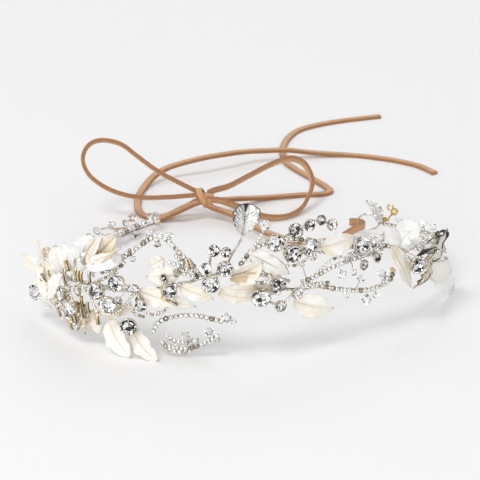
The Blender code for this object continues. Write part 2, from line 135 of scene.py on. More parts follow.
def gridFaces(n, m, loopN=False, loopM=False):
    i, j = np.meshgrid(np.arange(n - (not loopN)), np.arange(m - (not loopM)), indexing="ij")
    i, j = i.ravel(), j.ravel()
    i2, j2 = (i + 1) % n, (j + 1) % m
    return np.stack([i * m + j, i2 * m + j, i2 * m + j2, i * m + j2], 1)


def tubeFaces(n, m, finish):
    caps = np.stack([np.arange(m), np.arange((n - 1) * m, n * m)])
    return [(gridFaces(n, m, loopM=True), finish), (caps, finish)]


def revolved(profile, sides, finish=0, smooth=False, closed=False):
    profile = np.asarray(profile, float)
    angle = 2 * np.pi * np.arange(sides) / sides
    points = np.stack([
        profile[:, :1] * np.cos(angle), profile[:, :1] * np.sin(angle),
        profile[:, 1:] + 0 * angle], -1).reshape(-1, 3)
    n = len(profile)
    faces = [(gridFaces(n, sides, True, True), finish)] if closed else tubeFaces(n, sides, finish)
    return shell(points, faces, smooth)


def sweep(path, profile, wide, finish=0, scale=None, smooth=True, joined=False):
    path, profile = np.asarray(path, float), np.asarray(profile, float)
    ahead = unit(np.gradient(path, axis=0))
    if joined:
        ahead = unit(np.roll(path, -1, 0) - np.roll(path, 1, 0))
    wide = np.broadcast_to(np.asarray(wide, float), path.shape)
    side = unit(wide - ahead * np.sum(ahead * wide, 1, keepdims=True))
    lift = np.cross(side, ahead)
    scale = np.ones(len(path)) if scale is None else scale
    spread = profile[None] * scale[:, None, None]
    points = path[:, None] + side[:, None] * spread[..., :1] + lift[:, None] * spread[..., 1:]
    n, m = len(path), len(profile)
    edge = (np.abs(profile[:, 0]) / np.abs(profile[:, 0]).max()) ** 5
    marks = np.stack([
        np.repeat(lengthsOf(path), m), np.tile(profile[:, 0], n), np.tile(edge, n)], 1)
    faces = [(gridFaces(n, m, True, True), finish)] if joined else tubeFaces(n, m, finish)
    return shell(points.reshape(-1, 3), faces, smooth, marks)


def ringProfile(radius, sides=8):
    angle = 2 * np.pi * np.arange(sides) / sides
    return np.stack([np.cos(angle), np.sin(angle)], 1) * radius


def bandProfile(width, thick, sides=16):
    angle = 2 * np.pi * (np.arange(sides) + 0.5) / sides
    c, s = np.cos(angle), np.sin(angle)
    return np.stack([np.sign(c) * np.abs(c) ** 0.32 * width / 2,
                     np.sign(s) * np.abs(s) ** 0.32 * thick / 2], 1)


def copies(shape, centres, ups, sizes=1.0, spins=0.0, seed=3):
    centres, ups = np.atleast_2d(centres), unit(np.atleast_2d(np.asarray(ups, float)))
    n = len(centres)
    ups = np.broadcast_to(ups, (n, 3))
    sizes = np.broadcast_to(np.asarray(sizes, float), (n,))
    spins = np.broadcast_to(np.asarray(spins, float), (n,))
    hint = np.where(np.abs(ups[:, 2:]) > 0.9, [[1.0, 0, 0]], [[0, 0, 1.0]])
    side = unit(np.cross(hint, ups))
    other = np.cross(ups, side)
    c, s = np.cos(spins)[:, None], np.sin(spins)[:, None]
    side, other = side * c + other * s, other * c - side * s
    base = shape["points"]
    points = centres[:, None] + sizes[:, None, None] * (
        base[None, :, :1] * side[:, None] + base[None, :, 1:2] * other[:, None]
        + base[None, :, 2:] * ups[:, None])
    step = (np.arange(n) * len(base))[:, None, None]
    faces = [((f[None] + step).reshape(-1, f.shape[1]), k) for f, k in shape["faces"]]
    marks = np.tile(shape["marks"], (n, 1))
    marks[:, 2] = np.repeat(np.random.default_rng(seed).random(n), len(base))
    return shell(points.reshape(-1, 3), faces, shape["smooth"], marks)


def addSurface(name, shells, finishes, nodes=(), body="crown"):
    step, points, marks, loops, totals, slots, soft = 0, [], [], [], [], [], []
    for part in shells:
        points.append(part["points"])
        marks.append(part["marks"])
        for faces, finish in part["faces"]:
            loops.append((faces + step).ravel())
            totals.append(np.full(len(faces), faces.shape[1]))
            slots.append(np.full(len(faces), finish))
            soft.append(np.full(len(faces), part["smooth"] and faces.shape[1] < 6))
        step += len(part["points"])
    points, marks, loops, totals, slots, soft = map(
        np.concatenate, (points, marks, loops, totals, slots, soft))
    mesh = bpy.data.meshes.new(name)
    mesh.vertices.add(len(points))
    mesh.vertices.foreach_set("co", (points * 0.001).ravel().astype(np.float32))
    mesh.loops.add(len(loops))
    mesh.loops.foreach_set("vertex_index", loops.astype(np.int32))
    mesh.polygons.add(len(totals))
    mesh.polygons.foreach_set("loop_start", (np.cumsum(totals) - totals).astype(np.int32))
    mesh.polygons.foreach_set("material_index", slots.astype(np.int32))
    mesh.polygons.foreach_set("use_smooth", soft.astype(bool))
    mesh.update(calc_edges=True)
    kept = mesh.attributes.new("marks", "FLOAT_VECTOR", "POINT")
    kept.data.foreach_set("vector", marks.ravel().astype(np.float32))
    worker = bmesh.new()
    worker.from_mesh(mesh)
    bmesh.ops.recalc_face_normals(worker, faces=worker.faces)
    worker.to_mesh(mesh)
    worker.free()
    for finish in finishes:
        mesh.materials.append(finish)
    piece = bpy.data.objects.new(name, mesh)
    scene.collection.objects.link(piece)
    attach(piece, body)
    if nodes:
        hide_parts(*nodes)
    return piece


# Finishes

def addNode(tree, kind, inputs=None, **settings):
    made = tree.nodes.new(kind)
    for key, value in settings.items():
        setattr(made, key, value)
    for key, value in (inputs or {}).items():
        if isinstance(value, bpy.types.NodeSocket):
            tree.links.new(value, made.inputs[key])
        else:
            made.inputs[key].default_value = value
    return made


def sums(tree, operation, a, b=0.0):
    return addNode(tree, "ShaderNodeMath", {0: a, 1: b}, operation=operation).outputs[0]


def mixed(tree, factor, a, b):
    a, b = ((*x, 1) if isinstance(x, tuple) else x for x in (a, b))
    made = addNode(tree, "ShaderNodeMix", {0: factor, 6: a, 7: b}, data_type="RGBA")
    return made.outputs[2]


def between(tree, value, low, high, a=0.0, b=1.0):
    made = addNode(tree, "ShaderNodeMapRange", {0: value, 1: low, 2: high, 3: a, 4: b})
    return made.outputs[0]


def newGroup(name, inputs, output):
    group = bpy.data.node_groups.new(name, "ShaderNodeTree")
    for label, start in inputs.items():
        socket = group.interface.new_socket(label, in_out="INPUT", socket_type="NodeSocketFloat")
        socket.default_value = start
    group.interface.new_socket(output, in_out="OUTPUT", socket_type="NodeSocketFloat")
    return group, group.nodes.new("NodeGroupInput").outputs, group.nodes.new("NodeGroupOutput").inputs


def makeGrainGroup():
    # noise on the piece's own coordinates, stretched from its low to its high value
    group, given, put = newGroup(
        "grain", {"Scale": 500.0, "Detail": 3.0, "Low": 0.0, "High": 1.0}, "Mask")
    where = addNode(group, "ShaderNodeTexCoord").outputs["Object"]
    noise = addNode(group, "ShaderNodeTexNoise", {
        "Vector": where, "Scale": given["Scale"], "Detail": given["Detail"]}).outputs[0]
    group.links.new(between(group, noise, given["Low"], given["High"]), put["Mask"])
    return group


grainGroup = makeGrainGroup()


def grain(tree, scale, low=0.0, high=1.0, detail=3.0):
    values = {"Scale": scale, "Detail": detail, "Low": low, "High": high}
    return addNode(tree, "ShaderNodeGroup", values, node_tree=grainGroup).outputs["Mask"]


def marksIn(tree):
    found = addNode(tree, "ShaderNodeAttribute", attribute_name="marks")
    return addNode(tree, "ShaderNodeSeparateXYZ", {0: found.outputs["Vector"]}).outputs


def material(name, values):
    made = bpy.data.materials.new(name)
    made.use_nodes = True
    shader = made.node_tree.nodes["Principled BSDF"]
    for key, value in values.items():
        shader.inputs[key].default_value = value
    return made, made.node_tree, shader.inputs


def bumped(tree, inputs, height, distance, strength=0.5):
    values = {"Height": height, "Distance": distance, "Strength": strength}
    tree.links.new(addNode(tree, "ShaderNodeBump", values).outputs[0], inputs["Normal"])


def makeVeinGroup():
    # narrow ridge: (0.5 + 0.5 sin(2 pi (count u - slant |v|)))^sharpness
    group, given, put = newGroup("leaf_veins", {"Count": 9.0, "Slant": 4.0, "Sharpness": 9.0}, "Ridge")
    marks = marksIn(group)
    phase = sums(group, "SUBTRACT", sums(group, "MULTIPLY", marks[0], given["Count"]),
                 sums(group, "MULTIPLY", sums(group, "ABSOLUTE", marks[1]), given["Slant"]))
    wave = sums(group, "SINE", sums(group, "MULTIPLY", phase, 6.283))
    ridge = sums(group, "POWER", between(group, wave, -1.0, 1.0), given["Sharpness"])
    group.links.new(ridge, put["Ridge"])
    return group


veinGroup = makeVeinGroup()


def veinsIn(tree, slant, sharpness):
    values = {"Slant": slant, "Sharpness": sharpness}
    return addNode(tree, "ShaderNodeGroup", values, node_tree=veinGroup).outputs["Ridge"]


# gold is the colour of the folds: gold tint together with painted fold shade
leafColors = dict(
    cream=(0.93, 0.865, 0.73), pearl=(0.97, 0.955, 0.92), gold=(0.61, 0.40, 0.16),
    vein=(0.52, 0.46, 0.38), tip=(0.40, 0.36, 0.30))


def leafFinish(name, light, dark, veinShare):
    made, tree, inputs = material(name, {
        "Roughness": 0.42, "Sheen Weight": 0.15, "Coat Weight": 0.12, "Coat Roughness": 0.35})
    marks = marksIn(tree)
    cloud = grain(tree, 170.0, 0.4, 0.6)
    tone = mixed(tree, cloud, light, leafColors["pearl"])
    # the third mark mixes in the dark colour: gold tint with painted shade in the folds and on one side
    tone = mixed(tree, marks[2], tone, dark)
    veins = veinsIn(tree, 4.0, 9.0)
    tone = mixed(tree, sums(tree, "MULTIPLY", veins, veinShare), tone, leafColors["vein"])
    tip = between(tree, marks[0], 0.93, 1.0)
    tree.links.new(mixed(tree, tip, tone, leafColors["tip"]), inputs["Base Color"])
    bumped(tree, inputs, sums(tree, "ADD", veins, grain(tree, 900.0)), 0.00025, 0.6)
    return made


ivory = leafFinish("ivory_leaf_look", leafColors["cream"], leafColors["gold"], 0.28)
white = leafFinish("white_petal_look", (0.975, 0.97, 0.955), (0.78, 0.68, 0.52), 0.12)


def castFinish(name, light, dark):
    # patina lies in the veins, along the rim and in the folds
    made, tree, inputs = material(name, {"Metallic": 1.0, "Roughness": 0.3})
    marks = marksIn(tree)
    veins = between(tree, veinsIn(tree, 3.4, 3.0), 0.45, 0.8)
    rim = between(tree, sums(tree, "ABSOLUTE", marks[1]), 0.88, 0.97)
    dirt = grain(tree, 500.0, 0.42, 0.62)
    worn = sums(tree, "MULTIPLY", sums(tree, "MAXIMUM", veins, rim), dirt)
    tip = between(tree, marks[0], 0.94, 0.99)
    worn = sums(tree, "MAXIMUM", worn, sums(tree, "MAXIMUM", marks[2], tip))
    tree.links.new(mixed(tree, worn, light, dark), inputs["Base Color"])
    tree.links.new(between(tree, worn, 0.0, 1.0, 0.24, 0.5), inputs["Roughness"])
    bumped(tree, inputs, sums(tree, "MULTIPLY", veins, -1.0), 0.0003)
    return made


def metalFinish(name, light, dark, rough, scale):
    made, tree, inputs = material(name, {"Metallic": 1.0, "Roughness": rough})
    cloud = grain(tree, scale, 0.4, 0.65)
    tree.links.new(mixed(tree, cloud, light, dark), inputs["Base Color"])
    return made


silver = metalFinish("silver_wire_look", (0.86, 0.84, 0.79), (0.50, 0.42, 0.29), 0.22, 700.0)
cupMetal = metalFinish("cup_look", (0.90, 0.86, 0.78), (0.52, 0.42, 0.26), 0.18, 600.0)
gold = metalFinish("gold_look", (0.86, 0.66, 0.33), (0.55, 0.38, 0.14), 0.25, 500.0)


def paintedGlintFoilFinish():
    # painted reflections: each cell of the foil is painted bright or black, standing in for the bright
    # and dark reflections in the facets of a cut stone
    made, tree, inputs = material("stone_foil_painted_glint_look", {"Metallic": 1.0, "Roughness": 0.04})
    where = addNode(tree, "ShaderNodeTexCoord").outputs["Object"]
    cells = addNode(tree, "ShaderNodeTexVoronoi", {"Vector": where, "Scale": 850.0}).outputs["Color"]
    own = addNode(tree, "ShaderNodeSeparateXYZ", {0: cells}).outputs[0]
    tone = mixed(tree, between(tree, own, 0.72, 0.78), (0.98, 0.98, 0.98), (0.02, 0.02, 0.025))
    tree.links.new(tone, inputs["Base Color"])
    return made


paintedGlintFoil = paintedGlintFoilFinish()
castSilver = castFinish("cast_silver_look", (0.88, 0.87, 0.84), (0.06, 0.055, 0.05))
castGold = castFinish("cast_gold_look", (0.86, 0.79, 0.64), (0.34, 0.22, 0.08))
blackened = metalFinish("blackened_look", (0.035, 0.03, 0.027), (0.12, 0.10, 0.08), 0.34, 700.0)


def glassFinish(name, light, dark, rough):
    made, tree, inputs = material(name, {"Transmission Weight": 1.0, "IOR": 1.54, "Roughness": rough})
    cloud = grain(tree, 150.0, 0.35, 0.65, 1.0)
    tree.links.new(mixed(tree, cloud, light, dark), inputs["Base Color"])
    return made


glass = glassFinish("crystal_look", (1.0, 1.0, 1.0), (0.97, 0.97, 0.97), 0.0)


def beadFinish():
    # silver lining seen through clear glass: each bead's own share of gold and grey
    made, tree, inputs = material("seed_bead_look", {
        "Metallic": 0.9, "Roughness": 0.08, "Coat Weight": 1.0, "Coat Roughness": 0.02})
    own = marksIn(tree)[2]
    tone = mixed(tree, between(tree, own, 0.55, 0.85), (0.95, 0.94, 0.92), (0.84, 0.76, 0.62))
    tone = mixed(tree, between(tree, own, 0.86, 0.93), tone, (0.26, 0.22, 0.17))
    tone = mixed(tree, grain(tree, 900.0, 0.5, 0.7), tone, (0.98, 0.98, 0.98))
    tone = mixed(tree, grain(tree, 1300.0, 0.57, 0.63), tone, (0.22, 0.17, 0.11))
    tree.links.new(tone, inputs["Base Color"])
    return made


beadGlass = beadFinish()


def suedeFinish():
    # nap: short fibres of noise, browner on the cut edges
    made, tree, inputs = material("tan_suede_look", {"Roughness": 0.92, "Sheen Weight": 0.35})
    marks = marksIn(tree)
    nap = grain(tree, 1800.0, 0.35, 0.65, 5.0)
    tone = mixed(tree, nap, (0.52, 0.275, 0.12), (0.75, 0.445, 0.22))
    cloud = sums(tree, "MULTIPLY", grain(tree, 120.0, 0.4, 0.7), 0.4)
    tone = mixed(tree, cloud, tone, (0.50, 0.23, 0.09))
    tone = mixed(tree, sums(tree, "MULTIPLY", marks[2], 0.7), tone, (0.26, 0.10, 0.035))
    tree.links.new(tone, inputs["Base Color"])
    bumped(tree, inputs, nap, 0.0002, 0.7)
    return made


suede = suedeFinish()


# Laces, made first

print("stage: laces")
laceLook = dict(width=3.3, thick=1.9, spacing=1.5, sink=0.85, sinkUnder=4.0, sinkOver=2.4,
                foldLength=17.0, foldEase=9.0)
knotSpot = np.array([-18, 78, 9.3]) + centre
knotLook = dict(thick=1.4, width=2.9)


def knotBand(shift, lean, reach):
    angle = np.linspace(0, 2 * np.pi, 33)[:-1]
    ring = np.stack([np.tan(np.radians(lean)) * reach[1] * np.sin(angle),
                     reach[0] * np.cos(angle), reach[1] * np.sin(angle)], 1)
    profile = bandProfile(knotLook["width"], knotLook["thick"])
    return sweep(ring + knotSpot + shift, profile, (1, 0, -np.tan(np.radians(lean)) * 0.3), joined=True)


core = copies(revolved(
    [(0.1, -3.2), (1.8, -2.7), (2.9, -1.2), (3.0, 0.8), (2.2, 2.5), (0.1, 3.2)], 16, smooth=True),
    [knotSpot], [1.0, 0, 0])
knotPiece = addSurface("bow_knot", [
    core, knotBand((-0.6, 0, 0.3), -27, (3.3, 4.0)), knotBand((2.0, 0.2, -1.0), 20, (2.8, 2.7)),
], [suede], ["bow_knot"])

laceRoutes = dict(
    left_bow_loop=[
        (-19.4, 79.4, 11.6), (-22.4, 80.2, 12.4), (-25, 81, 13.4), (-39, 84, 20), (-49.5, 87, 27),
        (-56.5, 88.5, 32), (-64.5, 89, 34), (-70.5, 88, 33), (-74, 86, 29), (-74, 83, 24),
        (-70, 80, 18.5), (-60.5, 78, 13), (-48, 76.5, 10.4), (-34, 76, 10.8), (-25, 76.3, 11.4),
        (-22.4, 76.4, 11.6), (-19.4, 76.9, 11.2)],
    right_bow_loop=[
        (-16.4, 79.8, 11.4), (-13.6, 80.8, 12.3), (-10, 82, 12.8), (-6, 83.5, 13.6), (3, 89, 16.5),
        (13.5, 96, 19.5), (22, 101, 20.5), (28.5, 103, 17.5), (32, 100, 12.5), (32.5, 95, 8.6),
        (30, 88, 4.6), (26.5, 82, 2.5), (19.5, 75, 2), (9, 72.5, 3), (-1.5, 73.8, 6.5),
        (-10, 75.6, 9), (-13.6, 76, 9.4), (-16.6, 76.6, 9.6)],
    left_tie=[
        (-57.5, 54.5, 3.2), (-53, 59, 2.2), (-48.5, 64.4, 1.8), (-44, 69, 1.7), (-39, 71.6, 1.9),
        (-34.5, 72, 3.2), (-29.5, 72.4, 5.4), (-25, 73.8, 7.2), (-22.6, 74.6, 8), (-19.6, 75.8, 8.6)],
    right_tie=[
        (48.4, 57.2, 6), (51.6, 57.5, 6), (53.8, 56.6, 5.9), (54.6, 55, 5.8), (53.8, 53.4, 5.5),
        (51.6, 52.4, 5.2), (48.8, 50.6, 4.2), (44.5, 46.8, 3.4), (37.5, 43.2, 3), (28, 41, 3.2),
        (20, 42.6, 3.6), (14.5, 46, 4), (8.5, 52, 4), (1, 62.5, 4.4), (-6, 70, 4.8),
        (-10, 73, 5.2), (-13.4, 74.2, 5.9), (-16.2, 75.6, 6.8)],
    right_tail=[
        (-16, 79.2, 8.6), (-13.2, 80.4, 7.9), (-10, 83, 6.6), (-1.5, 90.5, 4.2), (10.5, 99, 2),
        (27, 103.4, 1.6), (37, 104.6, 1.6), (41.8, 108, 1.6), (39.8, 114.5, 1.6), (33.5, 125.5, 1.6),
        (26, 138, 1.6), (21.5, 148, 1.6), (20, 163.5, 1.6), (22, 178.5, 1.6), (27.5, 192.5, 1.6),
        (36.5, 201.5, 1.6), (51.5, 209.5, 1.6), (73, 217, 1.6)],
    left_tail=[
        (-19.8, 78.6, 8.4), (-22.9, 78.8, 7.4), (-25, 78.8, 5.8), (-30, 78, 3.6), (-36.5, 76, 1.9),
        (-43, 75.4, 1.6), (-47.5, 79, 1.6), (-49.8, 88, 1.6), (-49.8, 102, 1.6), (-47.5, 114, 2),
        (-43, 122, 3.8), (-35.5, 128, 6), (-21, 134, 8), (-9, 141, 7.6), (1, 147.5, 6.6),
        (11, 151, 5.8), (21, 153.6, 5.2), (33.5, 157, 3), (54, 158, 1.6), (69, 153.5, 1.6),
        (78.5, 149, 1.6), (88, 142, 1.6), (94.5, 132.5, 1.6)],
)


def addLace(name, route):
    path = evenly(throughPoints(route) + centre, laceLook["spacing"])
    # a flat lace lies lower than the round cord it fills
    low = np.clip((laceLook["sinkUnder"] - path[:, 2]) / laceLook["sinkOver"], 0, 1)
    path[:, 2] -= laceLook["sink"] * low
    if "loop" in name:
        middle = path - path.mean(0)
        wide = np.linalg.svd(middle, full_matrices=False)[2][2]
    else:
        wide = unit(np.cross(np.gradient(path, axis=0), [0, 0, 1.0]))
        if name == "right_tie":
            # the turn round the eyelet stands on its edge
            past = (lengthsOf(path) - laceLook["foldLength"]) / laceLook["foldEase"]
            share = np.clip(past, 0, 1)[:, None]
            wide = wide * share + np.array([0, 0, 1.0]) * (1 - share)
    profile = bandProfile(laceLook["width"], laceLook["thick"])
    piece = addSurface(name, [sweep(path, profile, wide)], [suede], [name])


for name, route in laceRoutes.items():
    addLace(name, route)

# Beads, wires, stones

beadLook = dict(radius=1.22, pitch=2.0, hole=0.28, ring=14, around=8)
anyWide = (0.13, 0.21, 0.97)  # a direction that no wire runs along


def beadShape():
    angle = 2 * np.pi * np.arange(beadLook["around"]) / beadLook["around"]
    middle, wall = (1 + beadLook["hole"]) / 2, (1 - beadLook["hole"]) / 2
    profile = np.stack([middle + wall * np.cos(angle), 0.78 * np.sin(angle)], 1)
    return revolved(profile, beadLook["ring"], smooth=True, closed=True)


bead = beadShape()


def strandPath(spots, out=None):
    # with out, each spot is only along and height
    if out is not None:
        spots = [(along, height, out) for along, height in spots]
    return evenly(throughPoints(place(spots)), 0.5)


def wire(path, radius, finish=1, sides=6):
    return sweep(path, ringProfile(radius, sides), anyWide, finish)


def coil(path, reach, radius, pitch, phase=0.0, finish=1):
    path = evenly(path, pitch / 7)
    total = lengthsOf(path)
    ahead = unit(np.gradient(path, axis=0))
    side = unit(np.cross(ahead, anyWide))
    angle = 2 * np.pi * (total / pitch + phase)[:, None]
    ring = path + reach * (side * np.cos(angle) + np.cross(ahead, side) * np.sin(angle))
    return sweep(ring, ringProfile(radius, 5), ahead + 0.01, finish)


def beadString(path, radius=None, pitch=None, seed=1, stray=0.12):
    radius, pitch = radius or beadLook["radius"], pitch or beadLook["pitch"]
    random = np.random.default_rng(seed)
    line = evenly(path, pitch)
    middle = (line[1:] + line[:-1]) / 2
    ahead = unit(np.diff(line, axis=0)) + random.normal(0, stray, middle.shape)
    size = radius * random.uniform(0.94, 1.04, len(middle))
    middle = middle + random.normal(0, 0.05, middle.shape)
    return [copies(bead, middle, ahead, size, random.uniform(0, 3, len(middle)), seed),
            wire(evenly(path, 1.0), 0.3 * radius)]


def addStrand(name, seed, out, spots):
    parts = beadString(strandPath(spots, out), seed=seed)
    return addSurface(name, parts, [beadGlass, silver, glass], [name])


def bicone():
    return revolved([(0.14, 0.48), (0.5, 0.06), (0.5, -0.06), (0.14, -0.48)], 8)


def facetBall(sides=10):
    half = [(0.16, 0.46), (0.38, 0.32), (0.5, 0.1)]
    return revolved(half + [(reach, -height) for reach, height in half[::-1]], sides)


def brilliant():
    # table, star, girdle and pavilion rings of a round cut, for a girdle 1 across
    def ring(count, spin, radius, height):
        angle = 2 * np.pi * (np.arange(count) + spin) / count
        return np.stack([radius * np.cos(angle), radius * np.sin(angle), height + 0 * angle], 1)

    points = np.vstack([
        ring(8, 0, 0.27, 0.32), ring(8, 0.5, 0.39, 0.26), ring(16, 0, 0.5, 0.155),
        ring(16, 0, 0.5, 0.13), ring(8, 0, 0.28, -0.06), [[0, 0, -0.2]]])
    k, j = np.arange(8), np.arange(16)
    after, before = (k + 1) % 8, (k - 1) % 8
    top, low = 16 + 2 * k, 32 + 2 * k
    topAfter, lowAfter = 16 + (2 * k + 2) % 16, 32 + (2 * k + 2) % 16
    upper = np.vstack([
        np.stack([k, after, 8 + k], 1), np.stack([8 + k, top, top + 1], 1),
        np.stack([8 + k, top + 1, topAfter], 1)])
    kites = np.stack([k, 8 + k, top, 8 + before], 1)
    girdle = np.stack([16 + j, 16 + (j + 1) % 16, 32 + (j + 1) % 16, 32 + j], 1)
    under = np.vstack([
        np.stack([low, low + 1, 48 + k], 1), np.stack([low + 1, lowAfter, 48 + after], 1),
        np.stack([48 + k, low + 1, 48 + after], 1), np.stack([48 + k, 48 + after, 56 + 0 * k], 1)])
    return shell(points, [
        (k[None], 0), (upper, 0), (kites, 0), (under, 1), (girdle, 0)], False)


def cupShape():
    return revolved([
        (0.05, -0.33), (0.26, -0.33), (0.53, -0.14), (0.555, 0.08), (0.53, 0.11), (0.512, 0.08),
        (0.505, -0.04), (0.24, -0.25), (0.05, -0.25)], 20, 2, True, True)


def spunShell(part, angle):
    c, s = np.cos(angle), np.sin(angle)
    points = part["points"] @ np.array([[c, s, 0], [-s, c, 0], [0, 0, 1.0]])
    return shell(points, part["faces"], part["smooth"], part["marks"])


def clawShapes(count):
    claw = sweep([(0.55, 0, 0.0), (0.55, 0, 0.12), (0.51, 0, 0.2), (0.44, 0, 0.235)],
                 ringProfile(0.045, 6), (0, 1, 0), 2, np.array([1.0, 1.0, 1.0, 0.7]))
    angle = 2 * np.pi * np.arange(count) / count
    return [spunShell(claw, a) for a in angle]


stoneParts = [brilliant(), cupShape(), *clawShapes(6)]
stoneFinishes = [glass, paintedGlintFoil, cupMetal, silver]


def stones(places, seed=1):
    # each place: along, height, out, diameter, lean along, lean up
    centres = np.array([place(p[:3]) for p in places])
    ups = np.array([facingOf(p, p[4], p[5]) for p in places])
    sizes = np.array([p[3] for p in places])
    spins = np.random.default_rng(seed).uniform(0, 1, len(places))
    return [copies(part, centres, ups, sizes, spins) for part in stoneParts]


def twigPath(places, stem=()):
    route = [place(p) for p in stem]
    route += [place(p[:3]) - facingOf(p, p[4], p[5]) * 0.33 * p[3] for p in places]
    return evenly(throughPoints(route, 6), 0.7)


def addSpray(name, places, stem=(), body="crown", seed=1):
    parts = stones(places, seed)
    if len(places) + len(stem) > 1:
        path = twigPath(places, stem)
        parts += [wire(path, 0.38, 3), coil(path, 0.5, 0.14, 0.9, finish=3)]
    return addSurface(name, parts, stoneFinishes, [name], body)


# Leaves

leafLook = dict(thick=0.42, rows=46, columns=25, waves=3.2, teeth=5.3, midrib=0.12, midribDarkWidth=0.16)


def leafShell(base, tip, width, turned=0.0, arch=0.0, cup=0.0, near=0.6, far=0.9, swing=0.0,
              fold=0.0, groove=0.4, ruffle=0.6, goldShare=0.5, jag=0.03, notch=0.0, finish=0,
              seed=0.0, least=0.03, tone=0.0, shade=0.0):
    # u runs from the foot to the tip, v from edge to edge
    u = np.linspace(0, 1, leafLook["rows"])[:, None]
    v = np.linspace(-1, 1, leafLook["columns"])[None]
    start, end = place(base), place(tip)
    length = np.linalg.norm(end - start)
    ahead = unit(end - start)
    facing = onSpine((base[0] + tip[0]) / 2)[1]
    facing = turn(unit(facing - ahead * (ahead @ facing)), ahead, turned)
    across = np.cross(facing, ahead)
    # outline: u^near (1-u)^far over its largest value, with teeth of height jag
    widest = near / (near + far)
    share = np.maximum(least, u**near * (1 - u) ** far / (widest**near * (1 - widest) ** far))
    teeth = np.sin(2 * np.pi * (leafLook["teeth"] * u + seed) + 2.1 * np.sign(v))
    share = share * (1 + jag * teeth * np.abs(v))
    sideways = (width / 2 * share * v + swing * np.sin(np.pi * u))[..., None]
    # lift: arch sin(pi u) + cup v^2 + fold |v| - groove at the midrib + ruffle |v|^3 at the edges
    wave = np.sin(2 * np.pi * (leafLook["waves"] * u + seed) + 1.7 * np.sign(v))
    lift = (arch * np.sin(np.pi * u) + cup * v**2 * share + fold * np.abs(v) * share
            - groove * np.exp(-(v / leafLook["midrib"]) ** 2) * np.sin(np.pi * u) ** 0.5
            + ruffle * np.abs(v) ** 3 * share * wave)
    along = length * u * (1 - notch * np.exp(-(v / 0.22) ** 2) * u**6)
    points = start + ahead * along[..., None] + across * sideways + facing * lift[..., None]
    # gold tint with painted fold shade: along the midrib groove, at the foot and in one faint fold line
    # on each half; tone darkens the whole sheet and shade paints shade on one side
    sideLine = np.exp(-((np.abs(v) - 0.55 - 0.1 * np.sin(9 * u + seed)) / 0.1) ** 2)
    deep = goldShare * np.clip(
        np.exp(-(v / leafLook["midribDarkWidth"]) ** 2) * (1.1 - u) + 0.9 * np.exp(-u / 0.1)
        + 0.25 * sideLine * (1 - u), 0, 1)
    shaded = np.clip(v * np.sign(shade) - 0.1, 0, 1) * np.sign(shade) * (1.2 - u)
    deep = np.clip(deep + tone + shade * shaded, 0, 1)
    marks = np.stack([u + 0 * v, v + 0 * u, deep], -1)
    return sheetShell(points, marks, leafLook["thick"], finish)


def sheetShell(points, marks, thick, finish):
    n, m = points.shape[:2]
    normal = unit(np.cross(np.gradient(points, axis=0), np.gradient(points, axis=1)))
    both = np.concatenate([(points + normal * thick / 2).reshape(-1, 3),
                           (points - normal * thick / 2).reshape(-1, 3)])
    top = gridFaces(n, m)
    index = np.arange(n * m).reshape(n, m)
    rim = np.concatenate([index[0, :-1], index[:-1, -1], index[-1, :0:-1], index[:0:-1, 0]])
    after = np.roll(rim, -1)
    walls = np.stack([rim, after, after + n * m, rim + n * m], 1)
    faces = [(top, finish), (top[:, ::-1] + n * m, finish), (walls, finish)]
    return shell(both, faces, True, np.tile(marks.reshape(-1, 3), (2, 1)))


leafFinishes = [ivory, silver, castSilver, castGold, gold, glass, white, blackened]
ivorySlot, castSilverSlot, castGoldSlot, whiteSlot, blackSlot = 0, 2, 3, 6, 7


def edgeWire(leaf, line, first, last, radius, finish=blackSlot):
    # a rib along one line of a leaf: -1, 0, 1 for its left edge, middle and right edge, 2 for its end
    rows, columns = leafLook["rows"], leafLook["columns"]
    top = leaf["points"][:rows * columns].reshape(rows, columns, 3)
    if line == 2:
        path = top[-1]
    else:
        path = top[int(first * (rows - 1)): int(last * (rows - 1)) + 1, (line + 1) * (columns - 1) // 2]
    path = evenly(path, 0.4)
    taper = 0.45 + 0.55 * np.sin(np.linspace(0, np.pi, len(path)))
    made = sweep(path, ringProfile(radius, 6), anyWide, finish, taper)
    made["marks"][:] = (0.5, 0, 1)
    return made


def ribbed(leaf, *ribs):
    return [leaf, *(edgeWire(leaf, *rib) for rib in ribs)]


def addLeaf(name, base, tip, width, finish=0, body="crown", extra=(), ribs=(), **shape):
    parts = [*ribbed(leafShell(base, tip, width, finish=finish, **shape), *ribs), *extra]
    return addSurface(name, parts, leafFinishes, [name], body)


print("stage: spine and strands")
coilLook = dict(reach=0.38, radius=0.4, pitch=5.0, wrapReach=0.82, wrapRadius=0.15, wrapPitch=1.1)


def addSpineWire(name, spots):
    # two wires twisted round each other, with a fine wire wound over both
    path = strandPath(spots, 0)
    look = coilLook
    parts = [coil(path, look["reach"], look["radius"], look["pitch"], k / 2, 0) for k in (0, 1)]
    parts.append(coil(path, look["wrapReach"], look["wrapRadius"], look["wrapPitch"], 0.3, 0))
    return addSurface(name, parts, [silver], [name])


